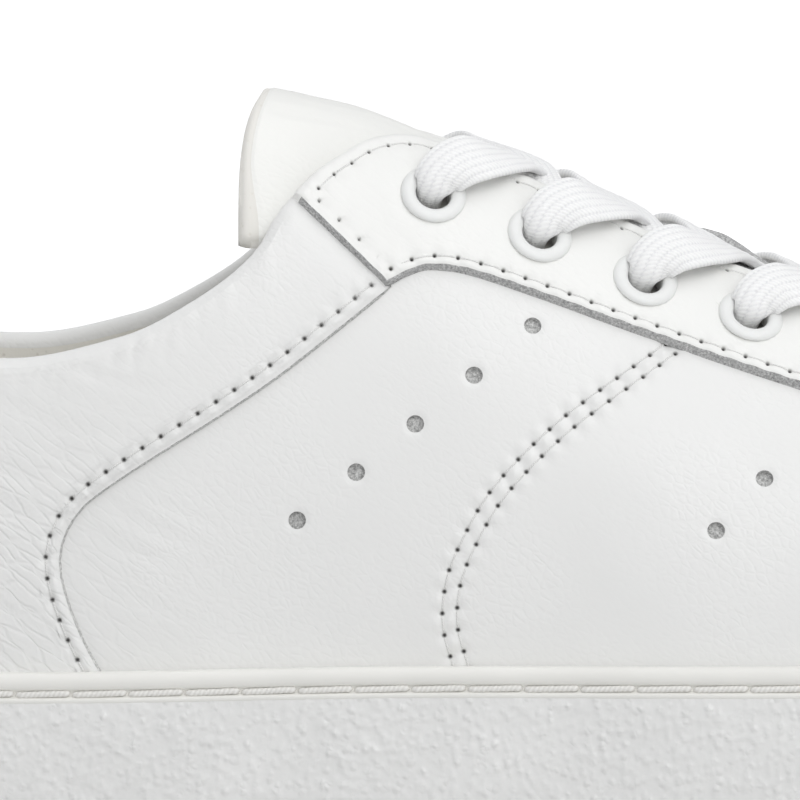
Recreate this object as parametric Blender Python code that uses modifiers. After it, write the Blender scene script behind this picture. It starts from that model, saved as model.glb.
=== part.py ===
# Low-top leather sneaker with a flat, wide, barefoot last and a stitched cup sole.
# One right shoe: toe at +X, lateral side at -Y, standing on Z = 0.
# The last is a short table of cross-sections. Every other piece is laid on it, in it
# or around it, so all of them keep the same curves. Sizes are in millimetres.

import math

import bmesh
import bpy
from mathutils import Vector

OBJECT_NAME = "barefoot_sneaker"
MM = 0.001

# ---------------------------------------------------------------- driving sizes

SOLE_LENGTH = 290.0
SOLE_WALL = 4.3          # cup wall outside the upper
SOLE_FLAT = 2.4          # the wall's foot is in by this much
GAP = 0.3                # between pieces that touch
CUP_GAP = 0.45           # between the upper and the cup, faceted curves both
QUARTER_GAP = 0.85       # between the upper and the heel quarter, for the same reason
UPPER_WALL = 2.0         # leather and lining
COLLAR_WALL = 3.0        # padded collar
OVERLAY = 1.2            # leather overlays
FLOOR = 4.5              # rubber under the foot
INSOLE = 4.0
TONGUE = 3.0

HEEL_BACK = SOLE_WALL
TOE_FRONT = SOLE_LENGTH - SOLE_WALL
HEEL_ROUND = 34.0        # length of the rounded heel end
HEEL_POWER = 2.1
TOE_ROUND = 50.0         # length of the rounded toe end
TOE_POWER = 2.6
MIDDLE = 60.0            # the heel's leaning columns end here
WAIST = 150.0            # the sole's wall leans as the last does here
BALL_END = 230.0         # points stand closer together from here to the toe

COLLAR_BLEND = (125.0, 137.0)  # the collar's edge runs into the throat's edge here
THROAT_NARROW = 204.0
THROAT_END = 226.0
THROAT_ROUND = 13.0
EYELETS_PER_SIDE = 6
EYELET_FIRST = 139.2
EYELET_PITCH = 15.45
EYELET_INSET = 10.3      # from the throat edge, along the leather
EYELET_HOLE = 2.7
EYELET_RIM = 4.7
LACE_WIDTH = 7.4
LACE_THICK = 1.2

LATERAL = -1.0
MEDIAL = 1.0

# ---------------------------------------------------------------- tables

# Cross-sections of the last. station is measured from the back of the sole, centre is
# the middle line's shift to the medial side, lateral and medial are half widths at the
# feather edge, ridge is the height of the closed last, and the two powers say how
# square the side wall and the crown are.
LAST_COLUMNS = ("station", "centre", "lateral", "medial", "ridge", "side", "crown")
LAST = (
    (0.0, -0.5, 30.5, 30.5, 150.0, 2.3, 2.2),
    (45.0, -0.5, 31.8, 31.8, 150.0, 2.3, 2.2),
    (80.0, -0.8, 33.0, 31.6, 138.0, 2.4, 2.2),
    (110.0, -0.5, 34.6, 31.0, 113.0, 2.6, 2.2),
    (125.0, -0.2, 35.8, 31.6, 106.5, 2.7, 2.1),
    (139.0, 0.0, 37.0, 33.2, 101.5, 2.7, 2.0),
    (154.6, 0.2, 39.2, 36.2, 95.6, 2.5, 1.8),
    (170.0, 0.3, 42.0, 40.2, 88.6, 2.35, 1.65),
    (185.5, 0.4, 44.8, 44.2, 81.8, 2.25, 1.6),
    (201.0, 0.6, 47.4, 47.2, 75.4, 2.2, 1.65),
    (216.0, 1.2, 49.2, 47.6, 70.0, 2.25, 1.8),
    (230.0, 2.4, 49.8, 46.6, 65.4, 2.4, 2.0),
    (248.0, 4.4, 48.0, 45.2, 60.8, 2.6, 2.2),
    (268.0, 7.2, 44.4, 43.0, 58.0, 3.0, 2.4),
    (290.0, 10.5, 41.0, 40.5, 57.0, 3.2, 2.5),
)

# Height of the collar and of the throat's edge over the ground.
TOPLINE_COLUMNS = ("station", "lateral", "medial")
TOPLINE = (
    (0.0, 80.0, 80.0),
    (14.0, 79.0, 79.0),
    (34.0, 73.5, 73.5),
    (56.0, 68.0, 68.0),
    (78.0, 66.0, 66.2),
    (95.0, 69.3, 69.4),
    (106.0, 74.8, 74.6),
    (115.4, 82.4, 81.8),
    (119.0, 88.5, 88.0),
    (124.8, 93.7, 93.4),
    (131.0, 95.8, 96.0),
    (137.0, 95.6, 96.3),
)

# Half width of the open throat, from its corner to its front.
THROAT_COLUMNS = ("station", "lateral", "medial")
THROAT = (
    (128.0, 16.0, 14.8),
    (139.0, 14.0, 12.6),
    (170.0, 13.4, 12.0),
    (213.0, 12.6, 12.0),
    (226.0, 12.6, 12.0),
)

# Ground contact: toe spring, the waist's lift under the arch, and the heel's bevel.
SPRING_COLUMNS = ("station", "bottom", "floor")
SPRING = (
    (0.0, 1.6, 0.0),
    (16.0, 0.0, 0.0),
    (92.0, 0.0, 0.0),
    (125.0, 1.2, 0.0),
    (158.0, 0.0, 0.0),
    (226.0, 0.0, 0.0),
    (250.0, 1.0, 1.0),
    (270.0, 3.3, 3.3),
    (290.0, 6.4, 6.4),
)

# Top of the sole's rib over the ground.
RIB_COLUMNS = ("station", "height")
RIB = (
    (0.0, 23.0),
    (40.0, 21.3),
    (78.0, 20.6),
    (134.0, 21.7),
    (165.0, 22.1),
    (200.0, 22.7),
    (245.0, 24.0),
    (270.0, 26.4),
    (290.0, 29.6),
)

# Lower edge of the eyestay along the sides: station, height.
EYESTAY_SIDE = (
    (132.6, 76.6),
    (135.9, 78.2),
    (139.6, 78.9),
    (147.5, 77.3),
    (167.8, 70.0),
    (191.6, 61.9),
    (204.0, 58.0),
)
# The same edge around the toe end: station, half width.
EYESTAY_FRONT = (
    (216.0, 30.2),
    (227.5, 25.2),
    (236.0, 16.0),
    (240.2, 7.0),
)
EYESTAY_FRONT_STATION = 241.2
EYESTAY_CORNER = 119.4

# Front edge of the heel quarter, from the eyestay down to the rib: station, height.
QUARTER = (
    (132.2, 75.9),
    (117.2, 63.4),
    (98.9, 51.5),
    (89.2, 45.0),
    (85.9, 37.0),
    (87.6, 29.4),
    (91.5, 23.2),
)

# The sole's wall, from the ground to the cup's inner edge: what the height is measured
# from, the height or the drop from there, and the distance out from the upper's face.
GROUND = "ground"
RIB_TOP = "rib top"
WALL = (
    (GROUND, 0.0, SOLE_WALL - SOLE_FLAT),
    (GROUND, 0.7, SOLE_WALL - 0.7),
    (GROUND, 2.4, SOLE_WALL),
    (GROUND, 9.0, SOLE_WALL),
    (RIB_TOP, 5.2, SOLE_WALL),
    (RIB_TOP, 4.5, SOLE_WALL - 0.3),
    (RIB_TOP, 4.1, SOLE_WALL - 1.3),
    (RIB_TOP, 3.3, SOLE_WALL - 1.3),
    (RIB_TOP, 2.8, SOLE_WALL - 0.5),
    (RIB_TOP, 1.5, SOLE_WALL),
    (RIB_TOP, 0.5, SOLE_WALL - 0.5),
    (RIB_TOP, 0.0, SOLE_WALL - 1.5),
    (RIB_TOP, 0.1, CUP_GAP + 0.9),
    (RIB_TOP, 0.9, CUP_GAP),
)
CUP_LEVELS = (13.0, 7.0, 0.0)  # heights of the cup's inner face over its floor

# Flex grooves across the tread: station, half length, bend.
GROOVES = (
    (26.0, 20.0, 5.0),
    (44.0, 24.0, 5.0),
    (62.0, 24.0, 5.0),
    (174.0, 36.0, -6.0),
    (190.0, 38.0, -6.0),
    (206.0, 40.0, -6.0),
    (222.0, 40.0, -6.0),
)
GROOVE_WIDTH = 2.4
GROOVE_DEPTH = 1.3


# ---------------------------------------------------------------- tables to curves

def smooth_curve(stations, values):
    """Return a smooth function through the table's points, with no overshoot."""
    steps = [b - a for a, b in zip(stations, stations[1:])]
    slopes = [(b - a) / h for a, b, h in zip(values, values[1:], steps)]
    tangents = [slopes[0]]
    for left, right in zip(slopes, slopes[1:]):
        mean = 2.0 * left * right / (left + right) if left * right > 0.0 else 0.0
        tangents.append(mean)
    tangents.append(slopes[-1])

    def read(station):
        station = min(max(station, stations[0]), stations[-1])
        row = 0
        while row < len(steps) - 1 and station > stations[row + 1]:
            row += 1
        h = steps[row]
        t = (station - stations[row]) / h
        start = (1.0 + 2.0 * t) * (1.0 - t) ** 2 * values[row]
        leave = t * (1.0 - t) ** 2 * h * tangents[row]
        end = t * t * (3.0 - 2.0 * t) * values[row + 1]
        arrive = t * t * (t - 1.0) * h * tangents[row + 1]
        return start + leave + end + arrive

    return read


def read_table(columns, rows):
    """Return one smooth function of the first column for each other column."""
    keys = [row[0] for row in rows]
    curves = {}
    for index, name in enumerate(columns):
        if index:
            curves[name] = smooth_curve(keys, [row[index] for row in rows])
    return curves


last = read_table(LAST_COLUMNS, LAST)
topline = read_table(TOPLINE_COLUMNS, TOPLINE)
throat = read_table(THROAT_COLUMNS, THROAT)
spring = read_table(SPRING_COLUMNS, SPRING)
rib = read_table(RIB_COLUMNS, RIB)


# ---------------------------------------------------------------- the last

def side_name(side):
    return "lateral" if side < 0 else "medial"


def floor_height(station):
    """Top of the rubber under the foot."""
    return FLOOR + spring["floor"](station)


def end_term(station):
    """How far the rounded heel or toe has closed the section, from 0 to 1."""
    heel = max(0.0, HEEL_BACK + HEEL_ROUND - station) / HEEL_ROUND
    toe = max(0.0, station - TOE_FRONT + TOE_ROUND) / TOE_ROUND
    return heel ** HEEL_POWER + toe ** TOE_POWER


def half_width(station, side, rise):
    """Half width of the last at a height over the cup's floor."""
    tall = last["ridge"](station) - floor_height(station)
    share = 1.0 - end_term(station) - (max(rise, 0.0) / tall) ** last["side"](station)
    wide = last[side_name(side)](station)
    return wide * max(0.0, share) ** (1.0 / last["crown"](station))


def rise_at(station, side, half):
    """Height over the cup's floor where the last is that wide."""
    tall = last["ridge"](station) - floor_height(station)
    wide = last[side_name(side)](station)
    share = 1.0 - end_term(station) - (half / wide) ** last["crown"](station)
    return tall * max(0.0, share) ** (1.0 / last["side"](station))


def on_last(station, side, rise):
    """Point of the last's surface at a station and a height over the floor."""
    y = last["centre"](station) + side * half_width(station, side, rise)
    return Vector((station, y, floor_height(station) + rise))


def last_value(point):
    """Below 0 inside the last, above 0 outside it."""
    station = point.x
    across = point.y - last["centre"](station)
    side = MEDIAL if across > 0 else LATERAL
    wide = last[side_name(side)](station)
    tall = last["ridge"](station) - floor_height(station)
    rise = max(0.0, point.z - floor_height(station))
    width_term = (abs(across) / wide) ** last["crown"](station)
    return width_term + end_term(station) + (rise / tall) ** last["side"](station) - 1.0


def last_slope(point):
    """Gradient of last_value, by small steps."""
    step = 0.05
    parts = []
    for axis in ((step, 0, 0), (0, step, 0), (0, 0, step)):
        nudge = Vector(axis)
        parts.append((last_value(point + nudge) - last_value(point - nudge)) / (2.0 * step))
    return Vector(parts)


def outward(point):
    return last_slope(point).normalized()


def snap(point):
    """Move a point that is close to the last onto its surface."""
    for _ in range(6):
        slope = last_slope(point)
        point = point - slope * (last_value(point) / max(slope.length_squared, 1e-9))
    return point


def lifted(point, distance):
    """Point off the last's surface, outward or, below 0, inward."""
    return point + outward(point) * distance


# ---------------------------------------------------------------- lines on the last

def heel_station(station, rise):
    """Shift a heel column so that it stays on the last as the heel leans forward."""
    if station >= MIDDLE:
        return station
    tall = last["ridge"](station) - floor_height(station)
    closed = 1.0 - (rise / tall) ** last["side"](station)
    back = HEEL_BACK + HEEL_ROUND * (1.0 - closed ** (1.0 / HEEL_POWER))
    return back + (station - HEEL_BACK) * (MIDDLE - back) / (MIDDLE - HEEL_BACK)


def throat_half(station, side):
    """Half width of the throat's opening; it closes in a round front."""
    half = throat[side_name(side)](station)
    past = max(0.0, station - THROAT_END + THROAT_ROUND) / THROAT_ROUND
    return half * math.sqrt(max(0.0, 1.0 - past * past))


def top_rise(station, side):
    """Height of the upper's top edge over the cup's floor."""
    if station >= THROAT_END:
        return rise_at(station, side, 0.0)
    from_table = topline[side_name(side)](station) - floor_height(station)
    from_plan = rise_at(station, side, throat_half(station, side))
    start, stop = COLLAR_BLEND
    share = min(max((station - start) / (stop - start), 0.0), 1.0)
    share = share * share * (3.0 - 2.0 * share)
    return from_table + (from_plan - from_table) * share


def spaced(points, count):
    """Points at even distances along a polyline."""
    runs = [0.0]
    for a, b in zip(points, points[1:]):
        runs.append(runs[-1] + (b - a).length)
    found = []
    index = 0
    for k in range(count):
        want = runs[-1] * k / (count - 1)
        while index < len(points) - 2 and runs[index + 1] < want:
            index += 1
        span = max(runs[index + 1] - runs[index], 1e-9)
        found.append(points[index].lerp(points[index + 1], (want - runs[index]) / span))
    return found


def smooth_line(points, count):
    """Even points along a smooth curve through the given ones."""
    ends = [points[0] * 2.0 - points[1]] + points + [points[-1] * 2.0 - points[-2]]
    fine = []
    for a, b, c, d in zip(ends, ends[1:], ends[2:], ends[3:]):
        for k in range(8):
            t = k / 8.0
            drift = (c - a) * t + (a * 2.0 - b * 5.0 + c * 4.0 - d) * t * t
            fine.append(b + (drift + (b * 3.0 - a - c * 3.0 + d) * t ** 3) * 0.5)
    return spaced(fine + [points[-1]], count)


def column(station, side, low, high, count, steps=60):
    """Points up the last at one station, from one height to another."""
    tall = last["ridge"](station) - floor_height(station)
    closed = max(1.0 - end_term(station), 0.0)
    power = last["side"](station)
    top = tall * closed ** (1.0 / power) if station > MIDDLE else tall
    start = math.asin(min(1.0, (min(low, top) / top) ** (power / 2.0)))
    stop = math.asin(min(1.0, (min(high, top) / top) ** (power / 2.0)))
    points = []
    for k in range(steps + 1):
        angle = start + (stop - start) * k / steps
        rise = top * math.sin(angle) ** (2.0 / power)
        points.append(on_last(heel_station(station, rise), side, rise))
    return spaced(points, count)


def eased(start, stop, count, end="start"):
    """Stations between two ends, close together where the outline turns."""
    found = []
    for k in range(count):
        share = k / count
        angle = share * math.pi / 2.0
        share = 1.0 - math.cos(angle) if end == "start" else math.sin(angle)
        found.append(start + (stop - start) * share)
    return found


def even(start, stop, count):
    return [start + (stop - start) * k / count for k in range(count)]


# ---------------------------------------------------------------- meshes

def plan_shift():
    """Sideways shift that puts the sole's outline in the middle."""
    reach = []
    for side in (LATERAL, MEDIAL):
        ring = ring_at(0.0, side, SOLE_WALL)
        reach.append(max(side * point.y for point in ring))
    return (reach[0] - reach[1]) / 2.0


def to_world(point):
    x = (point.x - SOLE_LENGTH / 2.0) * MM
    y = (point.y + SHIFT) * MM
    return Vector((x, y, point.z * MM))


def new_object(name, bm, material, home):
    """Put a bmesh in the scene as one smooth object."""
    bmesh.ops.remove_doubles(bm, verts=bm.verts, dist=1e-6)
    mesh = bpy.data.meshes.new(name)
    bm.to_mesh(mesh)
    bm.free()
    mesh.materials.append(material)
    mesh.shade_smooth()
    mesh.set_sharp_from_angle(angle=math.radians(40))
    piece = bpy.data.objects.new(name, mesh)
    home.objects.link(piece)
    return piece


def add_grid(bm, rows, flip=False, closed=False):
    """Faces between rows of points; closed joins the last row to the first."""
    made = [[bm.verts.new(to_world(point)) for point in row] for row in rows]
    pairs = list(zip(made, made[1:]))
    if closed:
        pairs.append((made[-1], made[0]))
    for here, there in pairs:
        for k in range(len(here) - 1):
            corners = [here[k], there[k], there[k + 1], here[k + 1]]
            bm.faces.new(corners[::-1] if flip else corners)
    return made


def clean(bm):
    """Weld the seams of a grid and drop faces that have closed up at a pole."""
    bmesh.ops.remove_doubles(bm, verts=bm.verts, dist=2e-6)
    bmesh.ops.dissolve_degenerate(bm, edges=bm.edges, dist=1e-6)


def solidify(piece, thickness, outward_share, group=None, thin=1.0):
    """Give an open surface its wall."""
    wall = piece.modifiers.new("wall", "SOLIDIFY")
    wall.thickness = thickness * MM
    wall.offset = outward_share
    wall.use_quality_normals = True
    if group:
        wall.vertex_group = group
        wall.thickness_vertex_group = thin
    return wall


def material_named(name, colour, roughness, metallic=0.0):
    material = bpy.data.materials.new(name)
    material.use_nodes = True
    shader = material.node_tree.nodes["Principled BSDF"]
    shader.inputs["Base Color"].default_value = (*colour, 1.0)
    shader.inputs["Roughness"].default_value = roughness
    shader.inputs["Metallic"].default_value = metallic
    material.diffuse_color = (*colour, 1.0)
    return material


# ---------------------------------------------------------------- cup sole

def ring_at(rise, side, out):
    """Half outline of the last at one height over the floor, moved outward in plan."""
    tall = last["ridge"](HEEL_BACK) - floor_height(HEEL_BACK)
    closed = max(0.0, 1.0 - (rise / tall) ** last["side"](HEEL_BACK))
    back = HEEL_BACK + HEEL_ROUND * (1.0 - closed ** (1.0 / HEEL_POWER))
    front = TOE_FRONT
    for _ in range(8):
        tall = last["ridge"](front) - floor_height(front)
        closed = max(0.0, 1.0 - (rise / tall) ** last["side"](front))
        front = TOE_FRONT - TOE_ROUND * (1.0 - closed ** (1.0 / TOE_POWER))
    stations = eased(back, MIDDLE, 8) + even(MIDDLE, BALL_END, 11)
    stations += eased(BALL_END, front, 11, "stop") + [front]
    points = []
    for station in stations:
        point = on_last(station, side, rise)
        if station in (back, front):
            away = Vector((1.0 if station == front else -1.0, 0.0, 0.0))
            point.y = last["centre"](station)
        else:
            slope = last_slope(point)
            away = Vector((slope.x, slope.y, 0.0)).normalized()
        points.append(point + away * out)
    return points


def wall_row(side, base, height, out):
    """One line of the sole's wall along one side; the wall leans as the upper does."""
    if base == GROUND:
        points = ring_at(max(0.0, height - FLOOR), side, out)
        for point in points:
            point.z = height + spring["bottom"](point.x)
        return points
    points = ring_at(rib["height"](WAIST) - FLOOR - height, side, out)
    for point in points:
        point.z = rib["height"](point.x) - height
    return points


def make_cup_sole(home, material):
    """Rubber cup: tread, wall, stitched rib and inner floor, in one solid."""
    bm = bmesh.new()
    for side in (LATERAL, MEDIAL):
        rows = [wall_row(side, *row) for row in WALL]
        for rise in CUP_LEVELS:
            inner = ring_at(rise, side, CUP_GAP)
            for point in inner:
                point.z = floor_height(point.x) + rise
            rows.append(inner)
        add_grid(bm, rows, flip=side > 0)
    halves = [[wall_row(side, *WALL[0]) for side in (LATERAL, MEDIAL)]]
    halves.append([ring_at(0.0, side, CUP_GAP) for side in (LATERAL, MEDIAL)])
    for level, (near, far) in enumerate(halves):
        if level:
            for point in near + far:
                point.z = floor_height(point.x)
        add_grid(bm, [near, far], flip=level == 0)
    clean(bm)
    bmesh.ops.recalc_face_normals(bm, faces=bm.faces)
    return new_object("cup_sole", bm, material, home)


def make_groove_cutter(row, home):
    """A bent bar that cuts one flex groove into the tread."""
    station, half, bend = row
    outline = []
    steps = 8
    for edge in (-1.0, 1.0):
        for k in range(steps + 1):
            share = edge * (2.0 * k / steps - 1.0)
            x = station + bend * share * share + edge * GROOVE_WIDTH / 2.0
            outline.append(Vector((x, -half * share, 0.0)))
    bm = bmesh.new()
    low = [bm.verts.new(to_world(point - Vector((0, 0, 1.0)))) for point in outline]
    high = [bm.verts.new(to_world(point + Vector((0, 0, GROOVE_DEPTH)))) for point in outline]
    bm.faces.new(low)
    bm.faces.new(high)
    for k in range(len(outline)):
        after = (k + 1) % len(outline)
        bm.faces.new([low[k], low[after], high[after], high[k]])
    bmesh.ops.recalc_face_normals(bm, faces=bm.faces)
    mesh = bpy.data.meshes.new("groove_cutter")
    bm.to_mesh(mesh)
    bm.free()
    cutter = bpy.data.objects.new("groove_cutter", mesh)
    cutter.hide_render = True
    cutter.display_type = "WIRE"
    home.objects.link(cutter)
    return cutter


def cut(piece, cutter):
    """Cut one piece with a closed mesh."""
    boolean = piece.modifiers.new(cutter.name, "BOOLEAN")
    boolean.operation = "DIFFERENCE"
    boolean.solver = "EXACT"
    boolean.object = cutter


# ---------------------------------------------------------------- upper

def upper_stations():
    found = eased(HEEL_BACK, MIDDLE, 9)
    found += even(MIDDLE, 108.0, 5)
    found += even(108.0, 140.0, 7)
    found += even(140.0, THROAT_NARROW, 6)
    found += eased(THROAT_NARROW, THROAT_END, 6, "stop")
    found += even(THROAT_END, 240.0, 1)
    found += eased(240.0, TOE_FRONT, 12, "stop")
    return found


def collar_share(station, share):
    """How much of the collar's padding a point has: 1 at the top edge, 0 in the body."""
    along = min(max((126.0 - station) / 14.0, 0.0), 1.0)
    up = min(max((share - 0.62) / 0.3, 0.0), 1.0)
    return along * up * up * (3.0 - 2.0 * up)


def make_upper(home, material):
    """The leather upper: one wall over the last, open at collar, throat and underneath."""
    rows_up = 8
    bm = bmesh.new()
    layer = bm.verts.layers.deform.verify()
    for side in (LATERAL, MEDIAL):
        rows = []
        for station in upper_stations():
            rows.append(column(station, side, GAP, top_rise(station, side), rows_up))
        pole = on_last(TOE_FRONT, side, 0.0)
        pole.z = floor_height(TOE_FRONT) + GAP
        rows.append([pole] * rows_up)
        made = add_grid(bm, rows[:-1], flip=side > 0)
        tip = bm.verts.new(to_world(pole))
        for k in range(rows_up - 1):
            corners = [made[-1][k], tip, made[-1][k + 1]]
            bm.faces.new(corners[::-1] if side > 0 else corners)
        for row, line in zip(rows, made):
            for k, vertex in enumerate(line):
                vertex[layer][0] = collar_share(row[k].x, k / (rows_up - 1))
    clean(bm)
    piece = new_object("upper", bm, material, home)
    piece.vertex_groups.new(name="collar")
    solidify(piece, COLLAR_WALL, -1.0, "collar", UPPER_WALL / COLLAR_WALL)
    return piece


# ---------------------------------------------------------------- insole

def make_insole(home, material):
    """Flat cut insole inside the upper."""
    inset = -(UPPER_WALL + CUP_GAP)
    bm = bmesh.new()
    levels = ((0.0, 0.0), (0.0, INSOLE - 1.0), (-1.0, INSOLE))
    sides = {}
    for side in (LATERAL, MEDIAL):
        rows = []
        for more, up in levels:
            line = ring_at(GAP + up, side, inset + more)
            for point in line:
                point.z = floor_height(point.x) + GAP + up
            rows.append(line)
        add_grid(bm, rows, flip=side > 0)
        sides[side] = rows
    add_grid(bm, [sides[LATERAL][0], sides[MEDIAL][0]], flip=True)
    add_grid(bm, [sides[LATERAL][-1], sides[MEDIAL][-1]])
    clean(bm)
    bmesh.ops.recalc_face_normals(bm, faces=bm.faces)
    return new_object("insole", bm, material, home)


# ---------------------------------------------------------------- overlays

def eyestay_edges(side, count):
    """The eyestay's throat edge and lower edge on one side, from the collar forward."""
    inner = []
    stations = even(EYESTAY_CORNER, THROAT_NARROW, 22)
    stations += eased(THROAT_NARROW, THROAT_END, 12, "stop")
    for station in stations:
        inner.append(on_last(station, side, top_rise(station, side) - GAP))
    inner.append(on_last(THROAT_END + GAP, side, rise_at(THROAT_END + GAP, side, 0.0)))
    outer = []
    for station, height in EYESTAY_SIDE:
        outer.append(on_last(station, side, height - floor_height(station)))
    for station, half in EYESTAY_FRONT:
        outer.append(on_last(station, side, rise_at(station, side, half)))
    tip = EYESTAY_FRONT_STATION
    outer.append(on_last(tip, side, rise_at(tip, side, 0.0)))
    return spaced(inner, count), smooth_line(outer, count)


def make_overlay(name, bm, home, material):
    """Lay an open patch just off the upper and give it its thickness outward."""
    clean(bm)
    piece = new_object(name, bm, material, home)
    solidify(piece, OVERLAY, 1.0)
    return piece


def make_eyestay(home, material):
    """The leather facing around the throat."""
    columns = 22
    across = 4
    bm = bmesh.new()
    for side in (LATERAL, MEDIAL):
        inner, outer = eyestay_edges(side, columns)
        rows = []
        for low, high in zip(outer, inner):
            line = [snap(low.lerp(high, k / (across - 1))) for k in range(across)]
            rows.append([lifted(point, GAP) for point in line])
        add_grid(bm, rows, flip=side > 0)
    return make_overlay("eyestay", bm, home, material)


def quarter_front(side, count):
    """The heel quarter's front edge, from the collar's corner down to the rib."""
    corner = EYESTAY_CORNER - OVERLAY
    line = [on_last(corner, side, top_rise(corner, side) - 1.0)]
    for station, height in QUARTER:
        line.append(on_last(station - OVERLAY, side, height - floor_height(station)))
    corner = snap(line[0].lerp(line[1], 0.5))
    return [line[0], corner] + smooth_line(line[1:], count - 2)


def quarter_band(station, side):
    """Lowest and highest rise of the heel quarter: just over the rib, just under the collar."""
    base = rib["height"](station) + 1.0 - floor_height(station)
    return base, top_rise(station, side) - 0.6


def band_share(point, side):
    """A point's place between the rib, 0, and the collar, 1."""
    base, top = quarter_band(point.x, side)
    return min(max((point.z - floor_height(point.x) - base) / (top - base), 0.0), 1.0)


def make_heel_quarter(home, material):
    """The leather overlay around the heel and up to the collar."""
    rows_up = 8
    stations = eased(HEEL_BACK, MIDDLE, 8) + [MIDDLE]
    bm = bmesh.new()
    for side in (LATERAL, MEDIAL):
        front = quarter_front(side, rows_up)[::-1]
        rows = []
        for station in stations:
            base, top = quarter_band(station, side)
            rows.append(column(station, side, base, top, rows_up))
        start = rows[-1]
        steps = 6
        for k in range(1, steps + 1):
            share = k / steps
            line = []
            for here, there in zip(start, front):
                station = here.x + (there.x - here.x) * share
                up_here = band_share(here, side)
                up = up_here + (band_share(there, side) - up_here) * share
                base, top = quarter_band(station, side)
                line.append(on_last(station, side, base + (top - base) * up))
            rows.append(line)
        add_grid(bm, [[lifted(p, QUARTER_GAP) for p in row] for row in rows], flip=side > 0)
    return make_overlay("heel_quarter", bm, home, material)


# ---------------------------------------------------------------- tongue

TONGUE_COLUMNS = ("station", "half", "crown")
TONGUE_ROWS = (
    (115.8, 38.0, 103.6),
    (119.0, 38.0, 102.7),
    (124.0, 36.0, 101.3),
    (131.0, 33.0, 99.0),
    (139.0, 32.0, 95.6),
    (160.0, 31.0, 86.2),
    (185.0, 29.0, 76.4),
    (205.0, 27.0, 69.8),
    (220.0, 25.0, 65.0),
    (234.0, 20.0, 60.4),
)
TONGUE_CREST = 17.0      # the tongue's crown is lower than the last inside this half width
TONGUE_PAD = (131.0, 123.0)  # the collar's padding pushes the tongue in between these


def tongue_sides(station, half, across):
    """Points over the last from the ridge down each side, as far as the half width."""
    lines = {}
    for side in (LATERAL, MEDIAL):
        top = rise_at(station, side, 0.0)
        whole = column(station, side, 0.35 * top, top, 60)[::-1]
        kept = [whole[0]]
        run = 0.0
        for a, b in zip(whole, whole[1:]):
            run += (b - a).length
            if run > half:
                break
            kept.append(b)
        lines[side] = spaced(kept, across // 2 + 1)
    return lines


def make_tongue(home, material):
    """The tongue: it lies under the facings and sags a little between them."""
    shape = read_table(TONGUE_COLUMNS, TONGUE_ROWS)
    back, front = TONGUE_ROWS[0][0], TONGUE_ROWS[-1][0]
    stations = [back, 119.0] + even(123.0, front, 13) + [front]
    across = 11
    sunk = UPPER_WALL + GAP
    bm = bmesh.new()
    rows = []
    for station in stations:
        lines = tongue_sides(station, shape["half"](station), across)
        ridge = lines[LATERAL][0].z
        start, stop = TONGUE_PAD
        share = min(max((start - station) / (start - stop), 0.0), 1.0)
        padding = 2.0 * GAP + (COLLAR_WALL - UPPER_WALL) * share
        sag = max(0.0, ridge - sunk - padding - shape["crown"](station))
        line = lines[LATERAL][::-1] + lines[MEDIAL][1:]
        row = []
        for point in line:
            off = abs(point.y - last["centre"](station)) / TONGUE_CREST
            bell = math.cos(min(off, 1.0) * math.pi / 2.0) ** 2
            moved = lifted(point, -sunk - padding)
            moved.z -= sag * bell
            row.append(moved)
        rows.append(row)
    add_grid(bm, rows, flip=True)
    clean(bm)
    piece = new_object("tongue", bm, material, home)
    solidify(piece, TONGUE, 1.0)
    return piece


# ---------------------------------------------------------------- eyelets

def throat_point(station, side):
    """A point of the throat's edge."""
    return on_last(station, side, top_rise(station, side))


def eyelet_centre(station, side):
    """The point of the last under an eyelet: a set distance down from the throat's edge."""
    top = top_rise(station, side)
    line = column(station, side, 0.5 * top, top, 80)[::-1]
    run = 0.0
    for a, b in zip(line, line[1:]):
        run += (b - a).length
        if run >= EYELET_INSET:
            return b
    return line[-1]


def eyelet_station(number):
    return EYELET_FIRST + EYELET_PITCH * number


def make_eyelet_mesh(material):
    """A rolled ring with a short barrel, turned around its own axis."""
    profile = (
        (EYELET_HOLE, -0.9),
        (EYELET_HOLE, 0.5),
        (EYELET_HOLE + 0.9, 1.1),
        (EYELET_RIM, 0.3),
        (EYELET_HOLE + 0.5, 0.0),
        (EYELET_HOLE + 0.4, -0.9),
    )
    turns = 12
    bm = bmesh.new()
    rings = []
    for k in range(turns):
        angle = 2.0 * math.pi * k / turns
        spoke = Vector((math.cos(angle), math.sin(angle), 0.0))
        ring = []
        for radius, height in profile:
            spot = spoke * radius + Vector((0.0, 0.0, height))
            ring.append(bm.verts.new(spot * MM))
        rings.append(ring)
    for k in range(turns):
        here = rings[k]
        there = rings[(k + 1) % turns]
        for j in range(len(profile)):
            after = (j + 1) % len(profile)
            bm.faces.new([here[j], there[j], there[after], here[after]])
    bmesh.ops.recalc_face_normals(bm, faces=bm.faces)
    mesh = bpy.data.meshes.new("eyelet")
    bm.to_mesh(mesh)
    bm.free()
    mesh.materials.append(material)
    mesh.shade_smooth()
    mesh.set_sharp_from_angle(angle=math.radians(50))
    return mesh


def place_eyelets(home, material):
    """Six rings a side, each square to the leather under it."""
    mesh = make_eyelet_mesh(material)
    for side in (LATERAL, MEDIAL):
        for number in range(EYELETS_PER_SIDE):
            spot = eyelet_centre(eyelet_station(number), side)
            axis = outward(spot)
            name = f"eyelet_{side_name(side)}_{number + 1}"
            ring = bpy.data.objects.new(name, mesh)
            ring.location = to_world(spot + axis * (GAP + OVERLAY + GAP))
            ring.rotation_mode = "QUATERNION"
            ring.rotation_quaternion = axis.to_track_quat("Z", "Y")
            home.objects.link(ring)


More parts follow.
